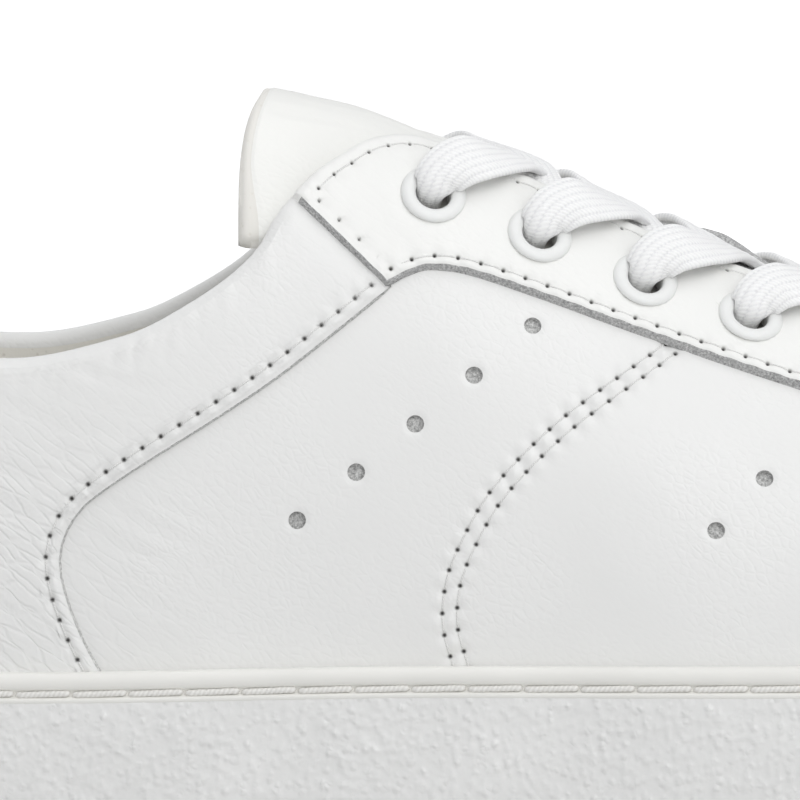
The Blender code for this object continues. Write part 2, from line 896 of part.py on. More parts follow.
def make_eyelet_cutter(home):
    """One open pair of posts for every eyelet, to bore the leather."""
    bm = bmesh.new()
    turns = 10
    for side in (LATERAL, MEDIAL):
        for number in range(EYELETS_PER_SIDE):
            spot = eyelet_centre(eyelet_station(number), side)
            axis = outward(spot)
            turn = axis.to_track_quat("Z", "Y").to_matrix().to_4x4()
            turn.translation = to_world(spot)
            bmesh.ops.create_cone(
                bm, cap_ends=True, segments=turns, radius1=(EYELET_HOLE + 0.9) * MM,
                radius2=(EYELET_HOLE + 0.9) * MM, depth=9.0 * MM, matrix=turn)
    mesh = bpy.data.meshes.new("eyelet_cutter")
    bm.to_mesh(mesh)
    bm.free()
    cutter = bpy.data.objects.new("eyelet_cutter", mesh)
    cutter.hide_render = True
    cutter.display_type = "WIRE"
    home.objects.link(cutter)
    return cutter


# ---------------------------------------------------------------- lace

def lace_strip(bm, path, width, thick):
    """A flat strip along a path; each path entry is a point and its up direction."""
    sections = []
    for index, (spot, up) in enumerate(path):
        before = path[max(index - 1, 0)][0]
        after = path[min(index + 1, len(path) - 1)][0]
        along = (after - before).normalized()
        across = up.cross(along).normalized()
        lift = along.cross(across).normalized()
        corners = []
        for a, b in ((-1, -1), (1, -1), (1, 1), (-1, 1)):
            shift = across * (a * width / 2.0) + lift * (b * thick / 2.0)
            corners.append(bm.verts.new(to_world(spot + shift)))
        sections.append(corners)
    for here, there in zip(sections, sections[1:]):
        for k in range(4):
            after = (k + 1) % 4
            bm.faces.new([here[k], here[after], there[after], there[k]])
    bm.faces.new(sections[0][::-1])
    bm.faces.new(sections[-1])


def lace_path(start, side, finish, dip):
    """From the leather by an eyelet, over the throat's edge, to the far edge."""
    off = GAP + OVERLAY + GAP + LACE_THICK / 2.0
    foot = eyelet_centre(start, side)
    edge = throat_point(start + 2.0, side)
    first = snap(foot.lerp(edge, 0.64))
    path = [(lifted(first, off), outward(first))]
    middle = snap(foot.lerp(edge, 0.86))
    path.append((lifted(middle, off + 0.4), outward(middle)))
    up = Vector((0.36, 0.0, 0.93))
    over = edge + Vector((0.4, -side * 1.4, off + 0.6))
    path.append((over, up))
    far = throat_point(finish, -side)
    if dip:
        last_spot = far + Vector((0.0, side * 4.4, 0.3))
    else:
        last_spot = far + Vector((0.0, side * 1.0, off))
    for share in (0.35, 0.7, 1.0):
        spot = over.lerp(last_spot, share)
        spot.z += 1.2 * math.sin(math.pi * share)
        path.append((spot, up))
    return path


def strip_object(name, path, home, material):
    bm = bmesh.new()
    lace_strip(bm, path, LACE_WIDTH, LACE_THICK)
    bmesh.ops.recalc_face_normals(bm, faces=bm.faces)
    return new_object(name, bm, material, home)


def make_laces(home, cutters, material):
    """Five crossings of two joined strips each, and the straight bar at the front."""
    for number in range(EYELETS_PER_SIDE - 1):
        here = eyelet_station(number)
        there = eyelet_station(number + 1)
        name = f"lace_crossing_{number + 1}"
        near = strip_object(name, lace_path(here, LATERAL, there, True), home, material)
        other = lace_path(here, MEDIAL, there, True)
        far = strip_object(f"strip_{number + 1}", other, cutters, material)
        far.hide_render = True
        far.display_type = "WIRE"
        union = near.modifiers.new("join", "BOOLEAN")
        union.operation = "UNION"
        union.solver = "EXACT"
        union.object = far
    front = eyelet_station(EYELETS_PER_SIDE - 1)
    half = lace_path(front, LATERAL, front + 2.0, False)[:3]
    other = lace_path(front, MEDIAL, front + 2.0, False)[:3]
    middle = half[-1][0].lerp(other[-1][0], 0.5) + Vector((0.0, 0.0, 0.8))
    path = half + [(middle, half[-1][1])] + other[::-1]
    strip_object("lace_bar", path, home, material)


# ---------------------------------------------------------------- assembly

def empty_scene():
    for piece in list(bpy.data.objects):
        bpy.data.objects.remove(piece, do_unlink=True)


def new_collection(name):
    home = bpy.data.collections.new(name)
    bpy.context.scene.collection.children.link(home)
    return home


def main():
    empty_scene()
    home = new_collection(OBJECT_NAME)
    cutters = new_collection("cutters")
    white_leather = material_named("white_leather", (0.80, 0.80, 0.78), 0.42)
    facing_leather = material_named("facing_leather", (0.83, 0.83, 0.81), 0.42)
    rubber = material_named("cream_rubber", (0.74, 0.72, 0.66), 0.6)
    foam = material_named("insole_textile", (0.62, 0.60, 0.56), 0.9)
    tongue_leather = material_named("tongue_leather", (0.81, 0.81, 0.79), 0.45)
    enamel = material_named("enamel", (0.86, 0.86, 0.85), 0.2)
    cotton = material_named("lace_cotton", (0.84, 0.85, 0.86), 0.85)

    sole = make_cup_sole(home, rubber)
    for row in GROOVES:
        cut(sole, make_groove_cutter(row, cutters))
    upper = make_upper(home, white_leather)
    make_insole(home, foam)
    make_tongue(home, tongue_leather)
    eyestay = make_eyestay(home, facing_leather)
    make_heel_quarter(home, facing_leather)
    place_eyelets(home, enamel)
    bores = make_eyelet_cutter(cutters)
    cut(upper, bores)
    cut(eyestay, bores)
    make_laces(home, cutters, cotton)


SHIFT = plan_shift()

if __name__ == "__main__":
    main()
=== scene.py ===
# %% [markdown]
# # A white leather low-top sneaker on a flat, wide last
# The shoe is made the way a shoemaker makes it: first the last, then the cup sole, then
# leather panels laid over the last one on another, then thread, eyelets, tongue and lace.
# Every panel is worked out from one formula for the last, so all of them share its curves.
# Sizes are millimetres in the tables and become metres only when a mesh is written.

# %% Load the frame
import math

import bmesh
import bpy
import numpy as np
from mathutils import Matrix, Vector, kdtree, noise


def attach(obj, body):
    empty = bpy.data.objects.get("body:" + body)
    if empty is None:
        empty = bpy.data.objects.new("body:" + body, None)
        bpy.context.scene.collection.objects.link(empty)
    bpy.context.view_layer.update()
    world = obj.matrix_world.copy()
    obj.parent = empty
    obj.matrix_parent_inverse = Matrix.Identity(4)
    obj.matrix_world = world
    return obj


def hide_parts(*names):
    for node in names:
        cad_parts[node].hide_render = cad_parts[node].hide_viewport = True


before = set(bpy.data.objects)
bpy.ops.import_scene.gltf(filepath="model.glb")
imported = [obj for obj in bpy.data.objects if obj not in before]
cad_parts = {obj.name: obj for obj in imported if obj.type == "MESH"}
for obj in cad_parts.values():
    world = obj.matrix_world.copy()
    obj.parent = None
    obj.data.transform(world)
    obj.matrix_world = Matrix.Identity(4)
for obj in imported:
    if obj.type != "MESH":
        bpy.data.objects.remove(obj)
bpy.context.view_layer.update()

MM = 0.001

# %% [markdown]
# ## The last
# A last is the foot-shaped block that a shoe is built on. It could be sculpted, but a
# sculpt can't be asked for its width at a height. A short table of cross-sections can:
# each row has the widths to both sides, the height of the closed ridge and two powers
# that say how square the section is. Smooth curves through the rows fill in the rest.

# %% Tables of the last
SOLE_LENGTH, SOLE_WALL = 290.0, 4.3
FLOOR, INSOLE = 4.5, 4.0
HEEL_BACK, TOE_FRONT = SOLE_WALL, SOLE_LENGTH - SOLE_WALL
HEEL_ROUND, HEEL_POWER = 34.0, 2.1
TOE_ROUND, TOE_POWER = 50.0, 2.6
MIDDLE, THROAT_END, THROAT_ROUND = 60.0, 226.0, 13.0
COLLAR_END, THROAT_START = 125.0, 137.0  # the top edge passes from collar to throat here
LATERAL, MEDIAL = -1.0, 1.0
SIDES = (LATERAL, MEDIAL)
ORIGIN = np.array((SOLE_LENGTH / 2.0, 0.638, 0.0))  # the shoe's middle on the ground

# station, centre, lateral and medial half width, ridge height, side power, crown power
LAST = (
    (0, -0.5, 30.5, 30.5, 150, 2.3, 2.2), (45, -0.5, 31.8, 31.8, 150, 2.3, 2.2),
    (80, -0.8, 33, 31.6, 138, 2.4, 2.2), (110, -0.5, 34.6, 31, 113, 2.6, 2.2),
    (125, -0.2, 35.8, 31.6, 106.5, 2.7, 2.1), (139, 0, 37, 33.2, 101.5, 2.7, 2.0),
    (154.6, 0.2, 39.2, 36.2, 95.6, 2.5, 1.8), (170, 0.3, 42, 40.2, 88.6, 2.35, 1.65),
    (185.5, 0.4, 44.8, 44.2, 81.8, 2.25, 1.6), (201, 0.6, 47.4, 47.2, 75.4, 2.2, 1.65),
    (216, 1.2, 49.2, 47.6, 70, 2.25, 1.8), (230, 2.4, 49.8, 46.6, 65.4, 2.4, 2.0),
    (248, 4.4, 48, 45.2, 60.8, 2.6, 2.2), (268, 7.2, 44.4, 43, 58, 3.0, 2.4),
    (290, 10.5, 41, 40.5, 57, 3.2, 2.5),
)
# station, then the height of the collar and throat edge on the lateral and medial side
TOPLINE = (
    (0, 80, 80), (14, 79, 79), (34, 73.5, 73.5), (56, 68, 68), (78, 66, 66.2),
    (95, 69.3, 69.4), (106, 74.8, 74.6), (115.4, 82.4, 81.8), (119, 88.5, 88),
    (124.8, 93.7, 93.4), (131, 95.8, 96), (137, 95.6, 96.3),
)
# station, then the throat's half width on the lateral and medial side
THROAT = ((128, 16, 14.8), (139, 14, 12.6), (170, 13.4, 12), (213, 12.6, 12), (226, 12.6, 12))
# station, how far the tread lifts off the ground, and how far the floor inside rises
SPRING = (
    (0, 1.6, 0), (16, 0, 0), (92, 0, 0), (125, 1.2, 0), (158, 0, 0),
    (226, 0, 0), (250, 1, 1), (270, 3.3, 3.3), (290, 6.4, 6.4),
)
# station, height of the top of the sole's rib
RIB = (
    (0, 23), (40, 21.3), (78, 20.6), (134, 21.7), (165, 22.1), (200, 22.7), (245, 24),
    (270, 26.4), (290, 29.6),
)

# %% Smooth curves through the tables
CURVE_POINTS = 1500


def curve(rows, column):
    """Smooth function through one column of a table, with no overshoot between rows."""
    keys = np.array([row[0] for row in rows], float)
    values = np.array([row[column] for row in rows], float)
    steps = np.diff(keys)
    slopes = np.diff(values) / steps
    product = slopes[:-1] * slopes[1:]
    total = np.where(product > 0, slopes[:-1] + slopes[1:], 1.0)
    inner = np.where(product > 0, 2.0 * product / total, 0.0)
    tangents = np.concatenate([slopes[:1], inner, slopes[-1:]])
    fine = np.linspace(keys[0], keys[-1], CURVE_POINTS)
    row = np.clip(np.searchsorted(keys, fine) - 1, 0, len(steps) - 1)
    t = (fine - keys[row]) / steps[row]
    found = (1 + 2 * t) * (1 - t) ** 2 * values[row]
    found += t * (1 - t) ** 2 * steps[row] * tangents[row]
    found += t * t * (3 - 2 * t) * values[row + 1]
    found += t * t * (t - 1) * steps[row] * tangents[row + 1]
    return lambda station: np.interp(station, fine, found)


centre_line, wide_lateral, wide_medial = (curve(LAST, k) for k in (1, 2, 3))
ridge, side_power, crown_power = (curve(LAST, k) for k in (4, 5, 6))
topline = {LATERAL: curve(TOPLINE, 1), MEDIAL: curve(TOPLINE, 2)}
throat = {LATERAL: curve(THROAT, 1), MEDIAL: curve(THROAT, 2)}
bottom, floor_lift, rib = curve(SPRING, 1), curve(SPRING, 2), curve(RIB, 1)


def smoothstep(low, high, value):
    share = np.clip((value - low) / (high - low), 0.0, 1.0)
    return share * share * (3.0 - 2.0 * share)


def bell(offset, width):
    """1 on a line, falling away smoothly to both sides."""
    return np.exp(-(offset / width) ** 2)


# %% The last's surface
SLOPE_STEP, SNAP_ROUNDS = 0.05, 5


def floor_height(station):
    return FLOOR + floor_lift(station)


def tall(station):
    return ridge(station) - floor_height(station)


def end_term(station):
    """How far the round heel or toe has closed the section, from 0 to 1."""
    heel = np.maximum(0.0, HEEL_BACK + HEEL_ROUND - station) / HEEL_ROUND
    toe = np.maximum(0.0, station - TOE_FRONT + TOE_ROUND) / TOE_ROUND
    return heel ** HEEL_POWER + toe ** TOE_POWER


def wide(station, side):
    return np.where(np.asarray(side) < 0, wide_lateral(station), wide_medial(station))


def on_last(station, side, rise):
    """Points of the last at a station and a height over the floor."""
    station, rise = np.broadcast_arrays(np.asarray(station, float), np.asarray(rise, float))
    share = 1 - end_term(station) - (np.maximum(rise, 0) / tall(station)) ** side_power(station)
    half = wide(station, side) * np.maximum(share, 0.0) ** (1 / crown_power(station))
    return np.stack([station, centre_line(station) + side * half,
                     floor_height(station) + rise], axis=-1)


def rise_at(station, side, half):
    """Height over the floor where the last is that wide."""
    share = 1 - end_term(station) - (half / wide(station, side)) ** crown_power(station)
    return tall(station) * np.maximum(share, 0.0) ** (1 / side_power(station))


def last_value(points):
    """Below 0 inside the last, above 0 outside it."""
    station, y, z = points[..., 0], points[..., 1], points[..., 2]
    across = y - centre_line(station)
    rise = np.maximum(z - floor_height(station), 0.0)
    width_term = (np.abs(across) / wide(station, across)) ** crown_power(station)
    return width_term + end_term(station) + (rise / tall(station)) ** side_power(station) - 1


def last_slope(points):
    parts = []
    for axis in np.eye(3) * SLOPE_STEP:
        rise = last_value(points + axis) - last_value(points - axis)
        parts.append(rise / (2 * SLOPE_STEP))
    return np.stack(parts, axis=-1)


def unit(vectors):
    return vectors / np.maximum(np.linalg.norm(vectors, axis=-1, keepdims=True), 1e-9)


def outward(points):
    return unit(last_slope(np.asarray(points, float)))


def snap(points):
    """Move points that are close to the last onto it."""
    for _ in range(SNAP_ROUNDS):
        slope = last_slope(points)
        square = np.maximum((slope ** 2).sum(-1), 1e-9)
        points = points - slope * (last_value(points) / square)[..., None]
    return points


def top_rise(station, side):
    """Height over the floor of the upper's top edge: collar, throat, then the ridge."""
    station = np.asarray(station, float)
    past = np.maximum(0.0, station - THROAT_END + THROAT_ROUND) / THROAT_ROUND
    half = throat[side](station) * np.sqrt(np.maximum(0.0, 1 - past * past))
    by_height = topline[side](station) - floor_height(station)
    by_width = rise_at(station, side, half)
    into_throat = smoothstep(COLLAR_END, THROAT_START, station)
    open_top = by_height + (by_width - by_height) * into_throat
    return np.where(station >= THROAT_END, rise_at(station, side, 0.0), open_top)


BALL = 220.0
ball_width = float(wide(BALL, LATERAL) + wide(BALL, MEDIAL))
print("last width at the ball:", round(ball_width, 1), "mm")

# %% [markdown]
# ## Lines and columns on the last
# A pattern cutter draws on the taped last with a pencil. Here a line is a list of points
# with even spacing, and a column is a line up the side of the shoe at one station. Even
# spacing along the surface keeps the mesh square, which keeps the shading smooth.

# %% Lines
SPAN_POINTS = 16  # points between two given ones


def length_along(line):
    return np.concatenate([[0.0], np.cumsum(np.linalg.norm(np.diff(line, axis=0), axis=1))])


def resample(line, shares):
    """Points of a polyline at shares of its length."""
    run = length_along(line)
    return np.stack([np.interp(np.asarray(shares) * run[-1], run, line[:, k])
                     for k in range(line.shape[1])], axis=-1)


def spaced(line, step):
    count = max(2, int(round(length_along(line)[-1] / step)) + 1)
    return resample(line, np.linspace(0, 1, count))


def smooth_line(points, step=0.5):
    """Even points on a smooth curve through a few given ones."""
    points = np.asarray(points, float)
    ends = np.concatenate([[2 * points[0] - points[1]], points, [2 * points[-1] - points[-2]]])
    t = np.linspace(0, 1, SPAN_POINTS, endpoint=False)[:, None]
    fine = []
    for a, b, c, d in zip(ends, ends[1:], ends[2:], ends[3:]):
        drift = (c - a) * t + (2 * a - 5 * b + 4 * c - d) * t ** 2
        fine.append(b + (drift + (3 * b - a - 3 * c + d) * t ** 3) * 0.5)
    return spaced(np.concatenate(fine + [points[-1:]]), step)


def side_line(rows, side, step=0.5):
    """A smooth line on the last through rows of station and height."""
    rows = np.asarray(rows, float)
    flat = smooth_line(rows, 0.5)
    points = on_last(flat[:, 0], side, flat[:, 1] - floor_height(flat[:, 0]))
    return spaced(points, step)


def beside(line, distance):
    """The line moved sideways over the last's surface; a positive distance is to its left."""
    along = unit(np.gradient(line, axis=0))
    return snap(line + np.cross(outward(line), along) * distance)


# %% Columns
COLUMN_POINTS = 61


def heel_station(station, rise):
    """Shift a heel column so that it stays on the last as the heel leans forward."""
    closed = np.maximum(1 - (rise / tall(station)) ** side_power(station), 0.0)
    back = HEEL_BACK + HEEL_ROUND * (1 - closed ** (1 / HEEL_POWER))
    leaning = back + (station - HEEL_BACK) * (MIDDLE - back) / (MIDDLE - HEEL_BACK)
    return np.where(station >= MIDDLE, station, leaning)


def columns(stations, side, low, high, rows):
    """One column of evenly spaced points for each station, from low to high over the floor."""
    stations = np.asarray(stations, float)[:, None]
    power = side_power(stations)
    closed = np.maximum(1 - end_term(stations), 1e-6)
    top = np.where(stations > MIDDLE, tall(stations) * closed ** (1 / power), tall(stations))
    low, high = (np.asarray(v, float).reshape(-1, 1) for v in (low, high))
    start = np.arcsin(np.minimum(1, (np.minimum(low, top) / top) ** (power / 2)))
    stop = np.arcsin(np.minimum(1, (np.minimum(high, top) / top) ** (power / 2)))
    shares = np.linspace(0, 1, COLUMN_POINTS)
    rise = top * np.sin(start + (stop - start) * shares) ** (2 / power)
    points = on_last(heel_station(stations + 0 * rise, rise), side, rise)
    return np.stack([resample(line, np.linspace(0, 1, rows)) for line in points])


def eased(start, stop, count, end="start"):
    """Stations between two ends, close together where the outline turns."""
    angle = np.linspace(0, math.pi / 2, count, endpoint=False)
    return start + (stop - start) * (1 - np.cos(angle) if end == "start" else np.sin(angle))


def heel_to_toe(back, forepart, front, counts):
    """Stations along the shoe, close together at the round heel and at the round toe."""
    heel, middle, toe = counts
    return np.concatenate([eased(back, MIDDLE, heel),
                           np.linspace(MIDDLE, forepart, middle, endpoint=False),
                           eased(forepart, front, toe, "stop"), [front]])


# %% [markdown]
# ## Leather as a mesh
# A panel starts as a plain grid on the last. It could be subdivided everywhere, but that
# wastes faces on smooth leather. Faces are split only near seams, edges and holes, and
# each new point is put back on the last. Height above the last is added at the very end,
# as thickness plus every trough, pucker and crease, so all of them are real shape.

# %% Grids, splitting and holes
HOLE_CLEAR = 0.3  # faces this near to a hole's edge give way to its ring
HOLE_LIP, HOLE_WAIST = 0.12, 0.45  # a lip in mm, and the share of the depth below it


def find_near(points):
    """A search tree of points, which finds the nearest one to a place."""
    tree = kdtree.KDTree(len(points))
    for k, point in enumerate(points):
        tree.insert(point, k)
    tree.balance()
    return tree


def grid(bm, points, flip=False):
    """Faces between the columns of an array of points."""
    made = [[bm.verts.new(p) for p in row] for row in points.tolist()]
    for here, there in zip(made, made[1:]):
        for k in range(len(here) - 1):
            corners = [here[k], there[k], there[k + 1], here[k + 1]]
            bm.faces.new(corners[::-1] if flip else corners)
    return made


def new_panel():
    bm = bmesh.new()
    for name in ("depth", "worn", "pit"):
        bm.verts.layers.float.new(name)
    return bm


def split_near(bm, points, reach):
    """Halve the faces that lie within reach of some points."""
    tree = find_near(points)
    edges = set()
    for face in bm.faces:
        if tree.find(face.calc_center_median())[2] < reach:
            edges.update(face.edges)
    bmesh.ops.subdivide_edges(bm, edges=list(edges), cuts=1, use_grid_fill=True)


def settle(bm):
    """Put every vertex of a panel on the last."""
    bm.verts.ensure_lookup_table()
    points = snap(np.array([v.co for v in bm.verts]))
    for vertex, point in zip(bm.verts, points.tolist()):
        vertex.co = point


def circle_on_last(centre, radius, turns):
    normal = outward(centre)
    first = unit(np.cross(normal, (0.0, 0.0, 1.0)))
    second = np.cross(normal, first)
    angles = np.linspace(0, 2 * math.pi, turns, endpoint=False)[:, None]
    return snap(centre + radius * (np.cos(angles) * first + np.sin(angles) * second))


def punch(bm, centre, radius, depth, turns, closed=True):
    """Punch a round hole with a wall, and with a floor where it's closed."""
    layer = bm.verts.layers.float["depth"]
    middle = Vector(centre)
    near = [v for v in bm.verts if (v.co - middle).length < radius + HOLE_CLEAR]
    around = {e for v in near for f in v.link_faces for e in f.edges}
    bmesh.ops.delete(bm, geom=near, context="VERTS")
    rim_edges = [e for e in around if e.is_valid and len(e.link_faces) == 1]
    while True:
        ends = [v for e in rim_edges for v in e.verts]
        pinched = {v for v in ends if ends.count(v) > 2}
        if not pinched:
            break
        around |= {e for v in pinched for f in v.link_faces for e in f.edges}
        bmesh.ops.delete(bm, geom=list(pinched), context="VERTS")
        rim_edges = [e for e in around if e.is_valid and len(e.link_faces) == 1]
    ring = [bm.verts.new(p) for p in circle_on_last(centre, radius, turns).tolist()]
    ring_edges = [bm.edges.new((a, b)) for a, b in zip(ring, ring[1:] + ring[:1])]
    made = bmesh.ops.bridge_loops(bm, edges=rim_edges + ring_edges)
    bmesh.ops.triangulate(bm, faces=[f for f in made["faces"] if len(f.verts) > 4])
    before = ring
    for down in (HOLE_LIP, HOLE_WAIST * depth, depth):
        lower = [bm.verts.new(v.co) for v in ring]
        for vertex in lower:
            vertex[layer] = down
        for k in range(turns):
            after = (k + 1) % turns
            face = bm.faces.new([before[k], before[after], lower[after], lower[k]])
            face.material_index = 1
        before = lower
    if closed:
        bm.faces.new(before).material_index = 1


def round_mark(points, centre, mark):
    """A dent or a swelling round a hole, from its height, distance and width."""
    high, away, broad = mark
    return high * bell(np.linalg.norm(points - centre, axis=1) - away, broad)


def side_edges(bm, keep):
    """Open boundary edges whose two ends both pass a test."""
    return [e for e in bm.edges if len(e.link_faces) == 1 and all(keep(v.co) for v in e.verts)]


def turn_edge(bm, edges, profile, index):
    """Carry an open edge on: each profile row says how far out along the panel and how deep."""
    depth, worn = bm.verts.layers.float["depth"], bm.verts.layers.float["worn"]
    away = {}
    for edge in edges:
        middle = (edge.verts[0].co + edge.verts[1].co) / 2
        along = (edge.verts[1].co - edge.verts[0].co).normalized()
        out = middle - edge.link_faces[0].calc_center_median()
        out = (out - along * out.dot(along)).normalized()
        for vertex in edge.verts:
            away[vertex] = away.get(vertex, Vector()) + out
    base = {v: (v.co.copy(), away[v].normalized(), v[depth]) for v in away}
    before = {v: v for v in away}
    for out, down in profile:
        after = {}
        for vertex, (spot, way, deep) in base.items():
            after[vertex] = bm.verts.new(spot + way * out)
            after[vertex][depth] = deep + down
            after[vertex][worn] = vertex[worn]
        for edge in edges:
            a, b = edge.link_loops[0].vert, edge.link_loops[0].link_loop_next.vert
            face = bm.faces.new([before[b], before[a], after[a], after[b]])
            face.material_index = index
            face.smooth = True
        before = after


# %% [markdown]
# ## Seams
# A sewn seam is four things: the thread, the needle holes, the trough that the thread
# pulls into the leather, and the small puckers beside it. The trough, the puckers and the
# holes belong to the leather, so they are heights added to the panel near the line of the
# seam. The thread is a mesh of its own, made later along the same line.

# %% Seams as heights
PITCH = 3.35  # a leather machine set to seven and a half stitches an inch
SHORT_PITCH = 3.12  # the same machine set shorter for a tight curve
FAR, LINE_REACH, CHUNK = 99.0, 7.0, 4000
PUCKER, PUCKER_OFF, PUCKER_WIDE = 0.12, 0.9, 0.8
HOLE_DEEP = 0.6
TROUGH_REACH, HOLE_REACH = 1.0, 0.6  # how far finer faces reach from a line, and a hole


def near_line(points, line):
    """Distance from a line, and the length along it, for each point."""
    distance = np.full(len(points), FAR)
    along = np.full(len(points), -FAR)
    low, high = line.min(0) - LINE_REACH, line.max(0) + LINE_REACH
    close = np.flatnonzero(((points > low) & (points < high)).all(1))
    run, way = length_along(line), unit(np.gradient(line, axis=0))
    for part in np.array_split(close, max(1, len(close) // CHUNK)):
        if len(part) == 0:
            continue
        gap = points[part][:, None, :] - line[None, :, :]
        nearest = (gap ** 2).sum(-1).argmin(1)
        step = gap[np.arange(len(part)), nearest]
        forward = (step * way[nearest]).sum(1)
        along[part] = run[nearest] + forward
        distance[part] = np.linalg.norm(step - way[nearest] * forward[:, None], axis=1)
        past = np.maximum(-along[part], 0) + np.maximum(along[part] - run[-1], 0)
        distance[part] = np.hypot(distance[part], past)
    return distance, along


class Seam:
    """A line of stitches on a panel."""

    def __init__(self, line, trough, width, hole, first=0.6, pitch=PITCH):
        self.line, self.trough, self.width, self.hole = line, trough, width, hole
        length = length_along(line)[-1]
        count = int((length - 2 * first) / pitch)
        self.pitch = (length - 2 * first) / max(count, 1)
        self.first, self.count = first, count
        at = first + self.pitch * np.arange(count + 1)
        self.holes = resample(line, at / length)

    def heights(self, points):
        """Height to add to the leather, and the painted shade that darkens its needle holes."""
        off, along = near_line(points, self.line)
        number = np.clip(np.round((along - self.first) / self.pitch), 0, self.count)
        step = along - self.first - number * self.pitch
        from_hole = np.hypot(off, step)
        wave = np.cos(2 * math.pi * step / self.pitch)
        height = -self.trough * (0.75 + 0.25 * wave) * bell(off, self.width)
        pucker = bell(off - PUCKER_OFF, PUCKER_WIDE) * (off < LINE_REACH - 2)
        height -= PUCKER * wave * pucker
        height -= HOLE_DEEP * bell(from_hole, self.hole)
        return height, np.exp(-(from_hole / self.hole) ** 4)


def sewn(points, seams):
    """Heights, and the painted shade of the needle holes, that several seams give a panel."""
    total, dark = np.zeros(len(points)), np.zeros(len(points))
    for seam in seams:
        extra, shade = seam.heights(points)
        total += extra
        dark = np.maximum(dark, shade)
    return total, dark


def split_for_seams(bm, seams, reach, finer=True):
    """Make the mesh fine enough along some seams for their troughs and holes."""
    lines = np.concatenate([seam.line for seam in seams])
    holes = np.concatenate([seam.holes for seam in seams])
    split_near(bm, lines, reach)
    if finer:
        split_near(bm, lines, TROUGH_REACH)
    split_near(bm, holes, HOLE_REACH)


# %% Creases
FOLD_BEND, FOLD_RIDGE, RIDGE_OFF = 0.06, 0.45, 1.9  # of its length, depth and width


def folds(points, rows, side):
    """Soft troughs with a ridge beside them, from rows of start, end, depth and width."""
    total = np.zeros(len(points))
    for x0, z0, x1, z1, deep, broad in rows:
        bend = ((x0 + x1) / 2 + FOLD_BEND * (z1 - z0), (z0 + z1) / 2 - FOLD_BEND * (x1 - x0))
        line = side_line([(x0, z0), bend, (x1, z1)], side, 0.8)
        off, along = near_line(points, line)
        length = length_along(line)[-1]
        fade = smoothstep(0, 0.3, along / length) * smoothstep(0, 0.4, 1 - along / length)
        total -= deep * fade * bell(off, broad)
        total += FOLD_RIDGE * deep * fade * bell(off - RIDGE_OFF * broad, broad)
    return total


# height, size and seed of the two waves
SLOW_WAVE, QUICK_WAVE = (0.25, 26.0, 3.0), (0.05, 9.0, 8.0)


def body_wave(points):
    """The slow unevenness that the last, the foam and every layer of leather share."""
    waves = SLOW_WAVE, QUICK_WAVE
    return sum(high * rumple(points, size, seed) for high, size, seed in waves)


def rumple(points, size, seed):
    """Smooth random height between about -1 and 1, with waves of about the given size."""
    return np.array([noise.noise(p) for p in (points / size + seed).tolist()])


# %% Finishing a mesh
def to_world(points):
    return (np.asarray(points) - ORIGIN) * MM


def finish_mesh(name, mesh, materials, nodes):
    """Give a mesh its materials and hide the CAD nodes it stands for; every piece rides on
    root.
    """
    for material in materials:
        mesh.materials.append(material)
    mesh.shade_smooth()
    piece = bpy.data.objects.new(name, mesh)
    bpy.context.scene.collection.objects.link(piece)
    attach(piece, "root")
    if nodes:
        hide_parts(*nodes)
    return piece


SHARP = math.radians(50.0)
HOLE_SHARE = 0.4  # a hole's wall takes only this share of the heights round it


def finish_panel(name, bm, height, heights, materials, nodes):
    """Lift a panel off the last by its thickness and its troughs, and make it a piece."""
    depth, worn, pit = (bm.verts.layers.float[n] for n in ("depth", "worn", "pit"))
    bm.verts.ensure_lookup_table()
    points = np.array([v.co for v in bm.verts])
    deep = np.array([v[depth] for v in bm.verts])
    extra, dark, use, raised = heights(points)
    normals = outward(points)
    lift = height - deep + np.where(deep > HOLE_LIP + 0.03, extra * HOLE_SHARE, extra)
    lift += body_wave(points) + raised
    final = to_world(points + normals * lift[:, None])
    for k, (vertex, spot) in enumerate(zip(bm.verts, final.tolist())):
        vertex.co = spot
        # pit carries the painted shade of the needle holes
        vertex[pit], vertex[worn] = float(dark[k]), float(use[k])
    mesh = bpy.data.meshes.new(name)
    bm.to_mesh(mesh)
    bm.free()
    piece = finish_mesh(name, mesh, materials, nodes)
    mesh.set_sharp_from_angle(angle=SHARP)
    print(name, len(mesh.polygons), "faces")
    return piece


def mesh_from(name, points, faces, materials, nodes=()):
    """A piece from an array of points and a list of faces."""
    mesh = bpy.data.meshes.new(name)
    mesh.from_pydata(to_world(points).tolist(), [], faces)
    mesh.validate()
    piece = finish_mesh(name, mesh, materials, nodes)
    print(name, len(mesh.polygons), "faces")
    return piece


def grid_faces(rows, across, closed=False):
    """Faces of a grid of rows; closed joins the end of each row to its start."""
    faces = []
    for r in range(rows - 1):
        for k in range(across if closed else across - 1):
            a, b = r * across + k, r * across + (k + 1) % across
            faces.append((a, b, b + across, a + across))
    return faces


# %% [markdown]
# ## Finishes
# Each finish starts from what the real one is and how its surface was made. Patterns are
# procedural: their scale comes from a real size, and bump carries only what is finer than
# the mesh. Colours are written as they look on a swatch and turned to linear light.

# %% A swatch's colour in linear light, and one function that adds a node
def linear(swatch):
    parts = [int(swatch[k:k + 2], 16) / 255 for k in (1, 3, 5)]
    mixed = [p / 12.92 if p <= 0.04045 else ((p + 0.055) / 1.055) ** 2.4 for p in parts]
    return (*mixed, 1.0)


def first_output(source):
    """A node stands for its first output; an output stands for itself."""
    if isinstance(source, bpy.types.Node):
        return next(output for output in source.outputs if output.enabled)
    return source


